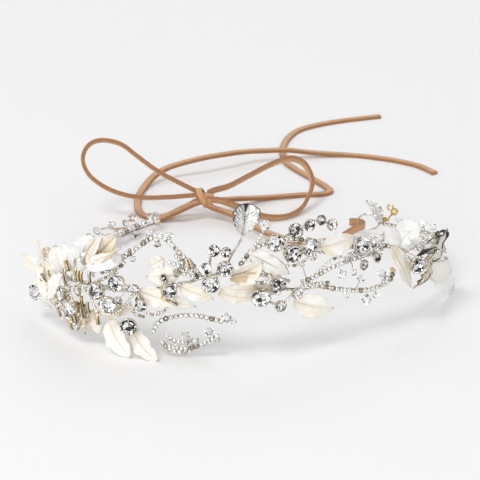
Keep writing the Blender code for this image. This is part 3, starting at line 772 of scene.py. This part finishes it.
strandOut, stoneOut, loopOut = 2.1, 6.7, 4.1  # distances out from the spine
for name, spots in dict(
        left_spine_wire=[(-133, 7), (-115, 9), (-95, 14), (-73, 20)],
        front_spine_wire=[
            (-72, 20), (-55, 23), (-40, 24), (-20, 27), (-5, 32), (8, 34), (20, 31), (30, 27)],
        right_spine_wire=[(81, 21), (95, 17), (110, 15), (126, 13)],
        right_end_wire=[(127.5, 13), (150, 10.5), (rightEnd - 8, 8)]).items():
    addSpineWire(name, spots)
addStrand("upper_branch_strand", 4, 0, [
    (9.5, 36.1), (12, 40), (17, 44), (28, 45.5), (42, 42), (54, 37.5), (69, 34.8), (80, 31),
    (88, 26.6)])
addStrand("arch_strand", 5, strandOut, [
    (-50, 32.5), (-41, 35.5), (-32, 43), (-24, 50), (-20, 49.5), (-16, 45.5), (-11, 39.5),
    (-8, 37)])
addStrand("loop_upper_strand", 6, loopOut, [
    (-24.5, 9), (-23, 13), (-19, 16), (-10.5, 17.5), (-4.5, 16.5), (2.5, 14.5)])
addStrand("loop_lower_strand", 7, loopOut + 1, [
    (-21.5, 6.5), (-18, 2.6), (-11, 2.2), (-5, 5.5), (0.5, 9)])
addStrand("right_upper_strand", 8, strandOut, [
    (34, 26.6), (38, 27.5), (42.5, 29), (49, 31), (56, 32), (62, 32.5), (69, 32)])
addStrand("right_lower_strand", 9, strandOut, [
    (34, 23.8), (41.5, 23.8), (49, 21), (57.5, 18.3), (66, 16.8), (74, 17), (77.5, 19.5),
    (78.5, 23)])
eyeletLook = dict(halfLong=5.0, halfWide=3.6, wire=0.45)


def eyeletPath(along, height, out, upright):
    angle = 2 * np.pi * np.arange(40) / 40
    across = eyeletLook["halfWide"] * np.sin(angle)
    return place(np.stack([
        along + eyeletLook["halfLong"] * np.cos(angle), height + across * upright,
        out + across * (not upright)], 1))


def wireRing(path, finish):
    return sweep(path, ringProfile(eyeletLook["wire"], 8), (0.11, 0.2, 0.97), finish, joined=True)


stemPath = strandPath([(leftEnd, 5, 0), (-170, 5, 0), (-150, 5.5, 0), (-134, 6.5, 0)])
addSurface("left_beaded_stem", [
    *beadString(stemPath, 1.45, 2.3, 11, 0.2),
    wireRing(eyeletPath(-158, 5.5, 1.7 + eyeletLook["halfWide"], False), 1),
], [beadGlass, silver], ["left_beaded_stem"])
addSurface("right_eyelet", [wireRing(eyeletPath(rightEnd - 2.2, 8, 0, True), 0)], [silver],
           ["right_eyelet"])
addSurface("left_foot_crystal", [copies(
    revolved([(0.6, 1.6), (2.3, 0.2), (1.2, -1.6)], 8), [place((-171, 1.6, 0))], [0, 0, 1.0])],
    [glass], ["left_foot_crystal"])

print("stage: leaves")
addLeaf("left_long_leaf", (-80, 20.5, 5), (-92, 22.5, 13), 5.4, turned=20, arch=1.5, goldShare=0.4)
addLeaf("left_upper_petal", (-65, 24.5, 4.5), (-66.2, 38, 7), 7.2, whiteSlot, turned=35, arch=1,
        near=0.5, far=0.5, fold=1.0, tone=0.12)
addLeaf("left_side_petal", (-76, 27, 6.5), (-68, 13.5, 8.5), 9, turned=-40, arch=1.5, near=0.5,
        far=0.5, goldShare=0.35)
addLeaf("left_back_petal", (-60, 33, 3), (-49, 46, 2), 8, whiteSlot, arch=1.5, turned=-15)
addSurface("calla_leaf", [
    *ribbed(
        leafShell((-49.2, 36, 5.2), (-37.6, 49.6, 4.8), 10, cup=1.8, goldShare=0.8, groove=0.8,
                  tone=0.12),
        (0, 0.05, 0.8, 0.22, ivorySlot), (-1, 0.1, 0.95, 0.2, ivorySlot)),
    *ribbed(
        leafShell((-49.8, 35.6, 6.6), (-42.3, 50.4, 7.0), 3.4, fold=0.8, goldShare=0.1),
        (1, 0.0, 0.8, 0.22, ivorySlot)),
    *ribbed(
        leafShell((-49.6, 34.4, 6.8), (-34.4, 41.6, 7.0), 7, arch=2.2, turned=-20, goldShare=0.1,
                  groove=0.1, near=0.5, far=0.5, ruffle=0.3, shade=0.15, finish=whiteSlot),
        (1, 0.3, 0.9, 0.2, ivorySlot)),
    *ribbed(
        leafShell((-48.8, 36.2, 6.7), (-35.2, 46, 7.0), 1.8, fold=0.6, arch=1.4, swing=-1.2,
                  goldShare=0.3, tone=0.1),
        (-1, 0, 1, 0.22, ivorySlot), (1, 0.2, 0.9, 0.18, whiteSlot)),
    leafShell((-48, 29.5, 4.6), (-48.8, 38, 5.2), 3.0, fold=1.0, goldShare=0.5),
], leafFinishes, ["calla_leaf"])
# the narrow darker sheet under this leaf is painted golden-brown shade in its fold
addLeaf("folded_leaf", (-46, 18, 5.5), (-30.5, 20, 6.5), 6.5, cup=1.8, fold=0.8, goldShare=0.7,
        extra=[leafShell((-45.6, 15.6, 6.4), (-34, 17.4, 7.4), 2.6, fold=0.8, tone=0.55)])
frontLeaf = dict(finish=whiteSlot, arch=2.2, ruffle=0.7, far=0.85)
frontRib = (0, 0.05, 0.95, 0.12, ivorySlot)
addLeaf("front_left_leaf", (-41.5, 13, 6), (-31, 0.2, 10.5), 10.5, tone=0.13, **frontLeaf,
        ribs=[frontRib, (1, 0.1, 0.95, 0.12, ivorySlot)])
addLeaf("front_right_leaf", (-31.5, 11, 7), (-21.5, 0.25, 11), 9.4, turned=12, tone=0.15,
        **frontLeaf, ribs=[frontRib, (-1, 0.1, 0.95, 0.12, ivorySlot)])
addLeaf("middle_upper_leaf", (-14.5, 35.5, 6), (-26, 34.5, 6.5), 8, arch=1.5, turned=10)
addLeaf("middle_lower_leaf", (-29, 27.5, 5.5), (-15, 24, 7), 8, arch=1.5, turned=-5)
addLeaf("middle_right_leaf", (-14, 30.5, 5.5), (-1.5, 25.5, 6.5), 6.5, arch=1.5)
# the narrow darker sheet inside this leaf is painted golden-brown shade in its fold
addLeaf("centre_folded_leaf", (5.5, 33.5, 5), (17, 39.5, 6), 9, cup=3, arch=1, goldShare=0.9,
        extra=[leafShell((4.6, 33.4, 6.2), (15, 35.6, 7.2), 3.4, fold=0.8, tone=0.6)])
addLeaf("centre_low_leaf", (15, 28, 5), (1, 29.5, 6), 5, arch=1)
addLeaf("centre_long_leaf", (12.5, 42.5, 3.4), (28, 32.5, 4.6), 7.5, whiteSlot, arch=1.4,
        turned=-8, tone=0.06,
        ribs=[(-1, 0.05, 0.55, 0.2), (1, 0.5, 0.98, 0.12), (0, 0.1, 0.7, 0.1)])
addLeaf("broad_leaf", (29.3, 20.8, 6), (45.5, 15.5, 8), 10, arch=2, ruffle=0.5)
addLeaf("upper_leaf", (41, 41.6, 5), (56, 43.2, 5), 9.2, arch=1, cup=1, ruffle=0.5)
addLeaf("right_long_leaf", (72.5, 35.5, 6.4), (83, 14.5, 7.6), 8.5, arch=1.2, turned=-15)
roundPetal = dict(finish=whiteSlot, near=0.5, far=0.45)
addLeaf("right_lower_petal", (94, 18, 7), (117, 0.9, 7), 10, arch=2, goldShare=0.1, **roundPetal)
addLeaf("right_left_petal", (80.5, 35.6, 3.6), (70, 40.7, 4.8), 7.5, arch=1, turned=30, jag=0.0,
        ruffle=0.2, goldShare=0.1, **roundPetal)
addLeaf("right_back_petal", (171.5, 8.8, -2.7), (156.5, 9.6, -2.7), 8.6, jag=0.0, ruffle=0.1,
        turned=-30, arch=-1.5, goldShare=0.0, groove=0.1, **roundPetal)
addLeaf("right_silver_leaf", (92, 27, 7), (109, 30.8, 6), 5.6, whiteSlot, arch=1, cup=1, tone=0.3,
        least=0.2, notch=0.15,
        ribs=[(-1, 0.05, 1.0, 0.3), (1, 0.2, 1.0, 0.3), (2, 0, 1, 0.5), (0, 0.5, 1, 0.2)])
scallop = dict(jag=0.15, finish=castGoldSlot)
addLeaf("right_scalloped_leaf", (92, 24, 10.5), (83.5, 16.5, 11.5), 3.4, arch=1, ruffle=0.8,
        ribs=[(0, 0, 1, 0.2), (1, 0.3, 1, 0.16)], **scallop, extra=[
            *ribbed(leafShell((91, 21.5, 10.5), (84, 16.2, 11), 2.4, arch=0.8, seed=3, **scallop),
                    (1, 0.1, 1, 0.18)),
            *ribbed(leafShell((89, 20.5, 10), (81.5, 15.4, 10.4), 2.2, arch=0.8, seed=5, **scallop),
                    (-1, 0.1, 1, 0.2))])
fernFoot, fernLength, fernAngles = (-51, 17, 6.4), 12.5, (198, 216, 235, 254, 272)
addSurface("left_fern_leaf", [
    leafShell(fernFoot, (fernFoot[0] + fernLength * np.cos(np.radians(angle)),
                         fernFoot[1] + fernLength * np.sin(np.radians(angle)), 7.6),
              3.6, fold=0.9, goldShare=0.8, finish=castGoldSlot, seed=angle)
    for angle in fernAngles], leafFinishes, ["left_fern_leaf"])

print("stage: stones")
big, small = 6.4, 4.4
for name, places in dict(
        left_stone_spray=[
            (-61, 19, stoneOut + 2, big, -20, -10), (-54.5, 16.5, stoneOut + 4, big, -5, -15)],
        lower_left_stone_spray=[
            (-44.5, 25.7, stoneOut + 1.5, big, 0, 10), (-39, 22.5, stoneOut + 5, big, 20, 0)],
        arch_stone_spray=[
            (-35.4, 32.3, stoneOut + 4.6, big, 0, 25), (-30.5, 29, stoneOut + 1.5, small, 15, 0),
            (-27, 23.5, stoneOut + 4, small, 10, 0)],
        front_leaf_stone=[(-31.5, 14, stoneOut + 4.2, big, 15, 0)],
        middle_stone=[(-17.5, 31.2, stoneOut + 4.2, big, 40, 0)],
        centre_stone_spray=[
            (-4.5, 38.5, stoneOut, small, 0, 20), (-2.5, 32.5, stoneOut + 1.5, big, -10, 0),
            (2.6, 38.4, stoneOut + 0.4, 0.92 * big, 0, 0)],
        lower_stone_spray=[
            (22, 30, stoneOut + 2, big, 0, 10), (15.5, 26, stoneOut + 2.5, 7.0, -10, 0),
            (23.5, 20.5, stoneOut + 1, small, 0, 0), (30, 25.2, stoneOut + 1, small, 10, 0)],
        upper_left_stone_spray=[
            (22, 47, stoneOut - 1, big, -10, 10), (28, 42.5, stoneOut + 1, 7.0, 0, 0),
            (35, 43.5, stoneOut, big, 10, 10)],
        branch_end_stone=[(57.5, 40.5, stoneOut + 1, big, 0, 10)],
        right_star_stone=[(82.8, 26, stoneOut + 4.6, 6.8, -15, 0)]).items():
    addSpray(name, places)
addSpray("centre_stone_sprig", [
    (-1.2, 44.8, stoneOut - 3, small, 0, 20), (3.4, 44.2, stoneOut - 2.5, 0.88 * small, 0, 10)],
    [(-2.5, 34.2, 1.4), (-2.6, 40, 1.8)], "centre_sprig")
addSpray("upper_stone_sprig", [
    (30.2, 50.6, 5, 0.88 * big, 0, 20), (35.6, 52.4, 5.5, small, 0, 10),
    (40.6, 53.6, 5.5, 0.88 * small, 5, 10), (45.4, 50.8, 5.5, small, 10, 10)],
    [(27, 47, 1.2)], "upper_sprig")

print("stage: sprigs")
tallPath = evenly(throughPoints(place([
    (3.5, 35.4, 1.4), (5.5, 41.5, 2.2), (8, 46, 2.6), (10.5, 51, 3)])), 0.6)
addSurface("tall_leaf_stem", [wire(tallPath, 0.5, 0, 8)], [silver], ["tall_leaf_stem"], "tall_leaf")
addLeaf("tall_silver_leaf", (9.7, 50.6, 3), (11.4, 63.4, 2), 10.6, castSilverSlot, "tall_leaf",
        arch=1.0, near=0.85, far=0.38, notch=0.4, fold=2.6, goldShare=0.3, jag=0.08, least=0.12,
        ribs=[(-1, 0.55, 1, 0.2), (1, 0.5, 1, 0.22), (2, 0, 1, 0.22), (0, 0.35, 0.95, 0.24)])
stamenPath = evenly(throughPoints(place([
    (rightEnd - 11.15, 9.4, 0), (rightEnd - 11.75, 11.4, 0), (rightEnd - 13.35, 13.4, 0)])), 0.5)
addSurface("stamen_sprig", [
    wire(stamenPath, 0.45, 0),
    copies(facetBall(12), place([(rightEnd - 14.15, 14.6, 0)]), [0, 0, 1.0], 3.6)],
    [gold], ["stamen_sprig"], "stamen")
addLeaf("curved_silver_leaf", (rightEnd - 7.75, 8.6, -1.9), (rightEnd - 0.85, 18.6, -0.8), 5,
        castSilverSlot, "curved_leaf", arch=0.5, swing=2.0, goldShare=0.3)
addSurface("crystal_drop", [copies(
    revolved([(0.25, 2.6), (0.5, 2.2), (2.1, -0.6), (1.4, -2.0), (0.5, -2.4)], 8),
    [place((64.5, 13.1, strandOut))], [0, 0, 1.0])], [glass], ["crystal_drop"], "drop")

print("stage: small pieces")
# what the small pieces are rooted on: coarse routes of the wires and strands
strandPoints = np.vstack([strandPath(spots, out) for out, spots in (
    (0, [(-72, 20), (-40, 24), (-20, 27), (-5, 32), (8, 34), (30, 27)]),
    (0, [(-73, 20), (-95, 14), (-115, 9), (-133, 7), (leftEnd, 5)]),
    (0, [(81, 21), (110, 15), (150, 10.5), (rightEnd - 8, 8)]),
    (0, [(9.5, 36.1), (17, 44), (28, 45.5), (54, 37.5), (69, 34.8), (88, 26.6)]),
    (strandOut, [(-50, 32.5), (-32, 43), (-22, 50), (-8, 37)]),
    (loopOut, [(-23, 13), (-10.5, 17.5), (2.5, 14.5)]),
    (loopOut + 1, [(-21.5, 6.5), (-18, 2.6), (-11, 2.2), (0.5, 9)]),
    (strandOut, [(34, 26.6), (49, 31), (69, 32)]),
    (strandOut, [(34, 23.8), (57.5, 18.3), (66, 16.8), (77.5, 19.5)]))])


def rooted(centres, radius=0.2, finish=1):
    # a fine wire from each small piece to the nearest strand
    made = []
    for spot in centres:
        near = strandPoints[np.argmin(np.linalg.norm(strandPoints - spot, axis=1))]
        middle = (spot + near) / 2 + [0, 0, 0.3]
        made.append(wire(evenly(throughPoints([spot, middle, near], 4), 0.8), radius, finish))
    return made


crystalLook = dict(seed=5)
crystalPlaces = [  # along, height, out, diameter
    (-77.5, 13.6, 10.4, 6.4), (-22.5, 47, 2.5, 3.6), (-32, 40, 3.4, 3.2), (-13.5, 39.7, 3.4, 3.4),
    (-26, 51, 2, 3.2), (-18, 50.5, 2, 3.0), (-12, 9.4, 6, 3.6), (-8.8, 6.8, 6.4, 4.0),
    (-3.2, 11.2, 6, 4.0), (-0.5, 8, 6, 3.4), (3.4, 16.3, 5, 4.2), (6, 14.6, 4.6, 3.0),
    (-16, 6, 6, 3.0),
    (53.8, 33.3, 4, 4.0), (51.3, 27.5, 4, 4.0), (60.3, 23.5, 4, 3.6), (68.6, 13.6, 3, 3.0),
    (53.6, 17.9, 4, 3.2), (71, 23, 3.4, 3.8), (72.7, 20.3, 4, 3.6), (57, 27, 3.4, 3.4),
    (38.5, 37.3, 3, 3.4), (34, 35, 2.6, 3.0), (111.5, 15, 5, 3.6), (-171, 9, 2, 4.0),
    (-164, 9.6, -1, 3.8), (-156, 10.5, 0, 4.2), (-148, 10, 2, 4.0), (-160, 2.6, 3.6, 3.6),
    (-150, 2.4, 2.6, 3.6), (-141, 9.6, 1, 4.0), (-137, 3.6, 2, 3.4), (157, 13.5, -1, 4.4),
    (105.4, 21, 7, 3.0), (103, 16, 8, 2.8), (151, 14, 0, 3.6), (146, 9, -2, 3.4), (71, 38, 2, 3.8),
    (66, 39, 3, 3.6), (63, 36, 3, 3.4)]
clearPlaces = [
    (-36.5, 41.5, 8, 4.4), (19.5, 52.5, 0, 4.4), (leftEnd + 0.6, 7, 0, 3.2),
    (leftEnd - 1.2, 5, 1.4, 3.0), (leftEnd + 1.2, 4.2, -2, 3.0), (leftEnd + 3.4, 7.2, 1, 3.0),
    (74, 39, 3, 3.4), (91, 29, 5, 3.6), (96, 31.5, 5, 3.4), (-81, 9, 9, 3.6)]


def strewn(name, shape, places, finish):
    places = np.array(places)
    random = np.random.default_rng(crystalLook["seed"])
    centres = place(places[:, :3])
    ups = random.normal(0, 1, (len(places), 3))
    parts = [copies(shape, centres, ups, places[:, 3], random.uniform(0, 3, len(places)))]
    addSurface(name, parts + rooted(centres), [finish, silver])


strewn("small_crystals", bicone(), crystalPlaces, glass)
strewn("clear_beads", facetBall(), clearPlaces, glass)
strewn("gold_beads", facetBall(8), [
    (75.6, 23.7, 4, 1.8), (179, 9.6, 1, 2.6), (81, 30, 5, 1.8), (-66, 15.5, 8, 1.8),
    (-75, 22, 8, 1.8)], gold)

smallStones = [  # along, height, out, diameter, lean along, lean up
    (-52.7, 23.4, 8.4, 4.0, -20, 0), (-58.4, 22.5, 8, 3.6, -30, 10), (-36.2, 23.4, 9, 3.6, 20, 0),
    (-28.5, 24.4, 7, 3.4, 10, 0), (-7, 36, 6.4, 3.6, 10, 20), (60.8, 29.9, 5, 4.0, 20, 0),
    (67.5, 31.1, 4.4, 3.6, 10, 20), (-19.5, 35, 8, 3.2, -20, 10), (99, 32, 7, 3.8, 0, 20),
    (88.6, 24.6, 9.6, 3.4, 20, 0), (-68, 29, 6.6, 3.4, -20, 10), (104.6, 18.6, 7.6, 2.6, 20, 0),
    (97.5, 30.4, 8, 2.6, 10, 10), (-15, 36.6, 6, 3.2, 10, 20)]
smallCentres = np.array([place(p[:3]) for p in smallStones])
addSurface("small_stones", stones(smallStones, 4) + rooted(smallCentres, 0.25, 3), stoneFinishes)


def bars(places, long, wide=1.1, thick=0.8):
    # short cast bars, each with a black wire along one side: along, height, out, lean in degrees
    made = []
    for k, (along, height, out, lean) in enumerate(places):
        outward = onSpine(along)[1]
        rise = turn(np.array([0, 0, 1.0]), outward, lean)
        path = place((along, height, out)) + np.outer(np.linspace(-0.5, 0.5, 5) * long, rise)
        path += np.outer(np.array([0, 0.3, 0.4, 0.3, 0]), outward)
        bar = sweep(path, bandProfile(wide, thick, 10), np.cross(rise, outward), castGoldSlot + k % 2)
        bar["marks"][:, 0] = 0.5  # the patina's darker tip stays off the bars
        side = unit(np.cross(rise, outward)) * wide * 0.62
        made += [bar, sweep(path + side, ringProfile(0.16, 6), outward, blackSlot)]
    return made


addSurface("cast_bars", bars([
    (-57.6, 9, 9, 20), (-56, 7.6, 9.4, 25), (-53.4, 11.6, 9.6, 15), (-54.8, 10.2, 9.6, 20),
    (-51, 14.4, 8.6, 15), (-51.6, 19, 7.6, 10), (-49, 17, 7.4, 10), (-45.6, 12.5, 6.8, 5),
    (-60.5, 31, 6.4, 25), (-59.4, 31.4, 6.6, 25), (-60, 26, 8, 20), (-53.9, 30, 8, 0),
    (-52.5, 30, 8.2, 0), (-51.1, 30, 8, 0), (-48, 30.5, 7.6, 5), (-64, 12, 8.6, 20),
    (-62.6, 11, 9, 20)], 4.4) + bars([
        (-71, 21.6, 9.2, 65), (-74, 20.6, 9.8, 75), (-73, 22.6, 9, 100), (-69, 24, 8, 40),
        (-58.6, 35.2, 5, -20), (-11, 40, 5.4, 20), (-9.6, 40.6, 5.2, 35), (25, 27, 6, 70),
        (28, 26.4, 6, 80), (-19, 25.6, 7.4, 60), (-16.4, 24.2, 7.4, 60)], 4.0, 0.8, 0.6),
    leafFinishes)


def beadTwigs(name, routes, radius, seed):
    parts = []
    for k, route in enumerate(routes):
        parts += beadString(strandPath(route), radius, radius * 1.9, seed + k, 0.3)
    return addSurface(name, parts, [beadGlass, silver])


beadTwigs("bead_twigs", [
    [(19, 50.5, 0), (16, 46, 0.6), (12.7, 41, 0.8)], [(-34, 21, 3), (-31, 18, 6), (-27, 16.6, 6)],
    [(-27, 19.5, 6.4), (-24, 17.7, 6), (-21.5, 19.6, 6)],
    [(-21, 25, 4), (-19, 20.7, 6), (-22.5, 18.2, 6)], [(-62, 28, 5), (-66, 33, 6), (-70, 34, 6)],
    [(-64, 17, 6), (-69, 10, 7), (-74, 7, 8)], [(-70, 18, 7), (-77, 15, 8), (-82, 12, 7)],
    [(-58, 13, 8), (-61, 8, 9.6)], [(-50, 22, 5), (-47, 19, 7), (-45, 14, 7)],
    [(90, 21, 4), (93, 31, 5), (90, 35, 5)], [(-66, 31, 4), (-60, 24, 7), (-56, 18, 8)],
    [(-48, 27, 5), (-42, 31, 6), (-37, 34.5, 6)], [(-72, 14, 9), (-66, 12, 9.5), (-60, 15, 9.5)],
    [(-58, 28, 6), (-52, 26, 8), (-47, 23, 8)], [(-40, 16, 7), (-35, 20, 8), (-31, 26, 7)],
    [(11, 33, 6), (16, 31, 7), (20, 34, 7)], [(24, 36, 4), (31, 36, 5), (38, 39, 5)],
    [(86, 22, 8), (92, 24, 9), (99, 27, 9)], [(76, 30, 4), (82, 28, 7), (84, 21, 9)],
    [(-62, 12, 9), (-57, 11, 10.4), (-52, 8, 10)], [(84, 28, 3), (78, 32, 4.5), (74, 36, 4)],
    [(42, 30, 2), (46, 34, 3), (52, 35, 3)]], 0.75, 31)
beadTwigs("second_rows", [
    [(-19, 4.8, 6), (-14, 4, 6.6), (-8, 4.6, 6.4), (-3, 8, 6)],
    [(-20, 9, 5), (-15, 6.6, 6), (-9, 6.4, 6.6)], [(-46, 34.5, 3.6), (-39, 38, 3.6), (-33, 43.6, 2.8)],
    [(-46, 31.4, 3), (-40, 33.6, 3.4), (-35, 38, 3.4)], [(-13, 42.8, 3), (-8, 35.5, 4.4), (-3, 35, 3)],
    [(46, 24.5, 3), (40, 25.6, 3.4), (33, 25.4, 3.4)], [(55, 34.5, 1.6), (64, 34, 2), (72, 33.2, 2.4)],
    [(-30, 25.6, 2.4), (-22, 28, 2.6), (-12, 31, 2.6)],
    [(-55, 24.5, 2.4), (-46, 25.4, 2.8), (-38, 26, 2.6)],
    [(-18.5, 40.5, 4.4), (-12, 38, 5), (-5.5, 36, 4.6)],
    [(-17.5, 37.6, 5), (-12, 35.6, 5.4), (-7, 34, 5)],
    [(-16, 43, 3.2), (-12.6, 39, 4.4), (-11, 34.6, 4.6)], [(10, 33, 4), (17, 33.8, 5), (25, 31.4, 4)],
    [(36, 40, 2.4), (43, 38.4, 3), (50, 38, 2.6)]], 0.9, 61)

whitePetal = dict(finish=whiteSlot)
petalPlaces = [  # foot, tip, width, seed, shape
    ((-72.4, 19.4, 8.4), (-71.2, 11, 9), 6, 1,
     dict(arch=0.8, near=0.3, far=0.3, least=0.3, goldShare=0.1)),
    ((-72, 22, 8), (-79.5, 26, 8.4), 5, 2, dict(arch=1, goldShare=0.3)),
    ((-67, 17, 9), (-62.5, 27.5, 7), 6, 3, dict(whitePetal, arch=1, fold=0.6)),
    ((-62, 28.5, 4), (-46.5, 46, 1.4), 9.5, 4, dict(whitePetal, arch=1.5, fold=1.8, turned=12)),
    ((-49.5, 14.5, 4), (-45.5, 5.5, 6), 6.5, 5, dict(arch=0.8, goldShare=0.6)),
    ((-58, 31, 5), (-63, 40, 5), 6, 6, dict(whitePetal, arch=1, goldShare=0.2)),
    ((-82, 24, 4), (-87, 31, 6), 6, 7, dict(arch=1, goldShare=0.3)),
    ((-20, 41.5, 4), (-25.5, 38.5, 5.6), 5.5, 8, dict(arch=1)),
    ((-24, 26, 4), (-8, 21.5, 5), 6, 9, dict(arch=1.2)),
    ((90.6, 20.6, 9.6), (108, 12.6, 9), 8.4, 11, dict(
        whitePetal, arch=1.2, near=0.45, far=0.4, goldShare=0.0, groove=0, ruffle=0.15, tone=0.3)),
    ((79, 33, 3.4), (86, 37.5, 3.4), 6.5, 12,
     dict(whitePetal, arch=1, turned=-30, jag=0.0, goldShare=0.2)),
    ((166, 7.5, -0.8), (173, 12, -1), 5, 13, dict(whitePetal, arch=1, goldShare=0.1)),
    ((10, 30, 4), (24, 25, 4.4), 6, 14, dict(arch=1, goldShare=0.6)),
    ((0.5, 27, 4.6), (14, 24, 5.4), 5.5, 15, dict(arch=1))]
addSurface("small_petals", [
    leafShell(base, tip, width, seed=seed, **look) for base, tip, width, seed, look in petalPlaces],
    leafFinishes)
castLeaf = dict(finish=castSilverSlot)
addSurface("dark_leaves", [
    leafShell((-53.5, 33.5, 4.6), (-49, 43, 3.6), 4.5, fold=0.8, goldShare=0.6, seed=1, **castLeaf),
    *ribbed(
        leafShell((91, 25.1, 8), (102, 23.7, 7.5), 4.6, arch=0.8, near=0.5, far=0.3, least=0.3,
                  seed=3, tone=0.28, **whitePetal),
        (-1, 0, 1, 0.3), (1, 0, 1, 0.28), (2, 0, 1, 0.36)),
    leafShell((-78, 10, 6), (-83, 18, 7), 5, arch=1, seed=4, **castLeaf),
    leafShell((56.5, 35.9, 3.4), (70.8, 31.5, 3.4), 2.2, fold=0.4, goldShare=0.3, seed=5, **castLeaf),
], leafFinishes)


def castLine(spots, radius, scale):
    path = evenly(throughPoints(place(spots)), 0.5)
    shares = np.interp(np.linspace(0, 1, len(path)), np.linspace(0, 1, len(scale)), scale)
    return sweep(path, ringProfile(radius, 8), anyWide, 0, shares)


# the blackened bent edges round the star stone: radius, then its shares along the line
addSurface("dark_lines", [
    castLine([(83.4, 29.2, 10.2), (88.5, 29.6, 9.8), (96.5, 28.3, 8.6)], 0.95,
             [0.5, 1, 0.9, 0.4, 0.25]),
    castLine([(87.6, 30.4, 9.4), (89.2, 28.6, 9.8)], 0.7, [0.4, 1, 0.6]),
    castLine([(90.6, 31.6, 8), (97.6, 32.2, 7)], 0.3, [0.5, 1, 0.6]),
    castLine([(99.5, 33.1, 7), (104, 32.4, 7.2), (109.3, 28.9, 6.6), (105.7, 27.4, 7)], 0.6,
             [0.4, 1, 0.6, 1, 0.5]),
], [blackened])
# curl: reach = start + growth x angle
curlLook = dict(start=0.5, growth=0.105, ring=1.3)
curlAngle = np.linspace(0, 5.5 * np.pi, 70)[:, None]
curlReach = curlLook["start"] + curlLook["growth"] * curlAngle
curlPath = place((-71.9, 32.8, 7)) + curlReach * np.hstack([
    np.cos(curlAngle), 0 * curlAngle, np.sin(curlAngle)])
addSurface("gold_curl", [wire(curlPath, 0.21, 0), *rooted(curlPath[-1:], 0.2, 0)], [gold])
ringAngle = curlAngle[:26]  # just over one turn
goldRing = place(np.hstack([
    176.2 + curlLook["ring"] * np.cos(ringAngle), 16.2 + curlLook["ring"] * np.sin(ringAngle),
    0 * ringAngle]))
addSurface("gold_ring", [wire(goldRing, 0.42, 0)], [gold], body="stamen")

print("stage: floor, light and world")
floorLook = dict(reach=4.0, light=(0.875, 0.875, 0.88), dark=(0.86, 0.86, 0.865))
floorMaterial, tree, inputs = material("floor_look", {"Roughness": 0.75, "Specular IOR Level": 0.2})
tree.links.new(mixed(tree, grain(tree, 3.0, 0.3, 0.7), floorLook["dark"], floorLook["light"]),
               inputs["Base Color"])
floorMesh = bpy.data.meshes.new("floor")
corners = np.array([(-1, -1, 0), (1, -1, 0), (1, 1, 0), (-1, 1, 0)]) * floorLook["reach"]
floorMesh.from_pydata(corners.tolist(), [], [(0, 1, 2, 3)])
floorMesh.materials.append(floorMaterial)
floor = bpy.data.objects.new("floor", floorMesh)
scene.collection.objects.link(floor)

lightLook = dict(world=0.98, key=27.0, front=11.0, back=5.0)
# the world is white with black patches, which the metals and stones reflect
world = bpy.data.worlds.new("studio")
world.use_nodes = True
scene.world = world
sky = world.node_tree
direction = addNode(sky, "ShaderNodeTexCoord").outputs["Generated"]
patches = addNode(
    sky, "ShaderNodeTexNoise", {"Vector": direction, "Scale": 3.6, "Detail": 0.0}).outputs[0]
dark = between(sky, patches, 0.535, 0.565)
sky.links.new(mixed(sky, dark, (1.0, 1.0, 1.0), (0.02, 0.02, 0.025)), sky.nodes["Background"].inputs[0])
sky.nodes["Background"].inputs[1].default_value = lightLook["world"]


def addLight(name, spot, aim, size, energy):
    data = bpy.data.lights.new(name, "AREA")
    data.shape = "DISK"
    data.size = size
    data.energy = energy
    light = bpy.data.objects.new(name, data)
    light.location = spot
    away = np.array(spot) - np.array(aim)
    flat = np.hypot(away[0], away[1])
    light.rotation_euler = (np.arctan2(flat, away[2]), 0, np.arctan2(away[0], -away[1]))
    scene.collection.objects.link(light)


addLight("key_softbox", (-1.2, -0.8, 2.6), (0, 0, 0), 1.1, lightLook["key"])
addLight("front_softbox", (-0.3, -1.7, 0.6), (0, 0, 0), 1.3, lightLook["front"])
addLight("back_softbox", (0.2, 1.6, 1.4), (0, 0.3, 0), 1.2, lightLook["back"])
scene.view_settings.view_transform = "Standard"
noteSize()
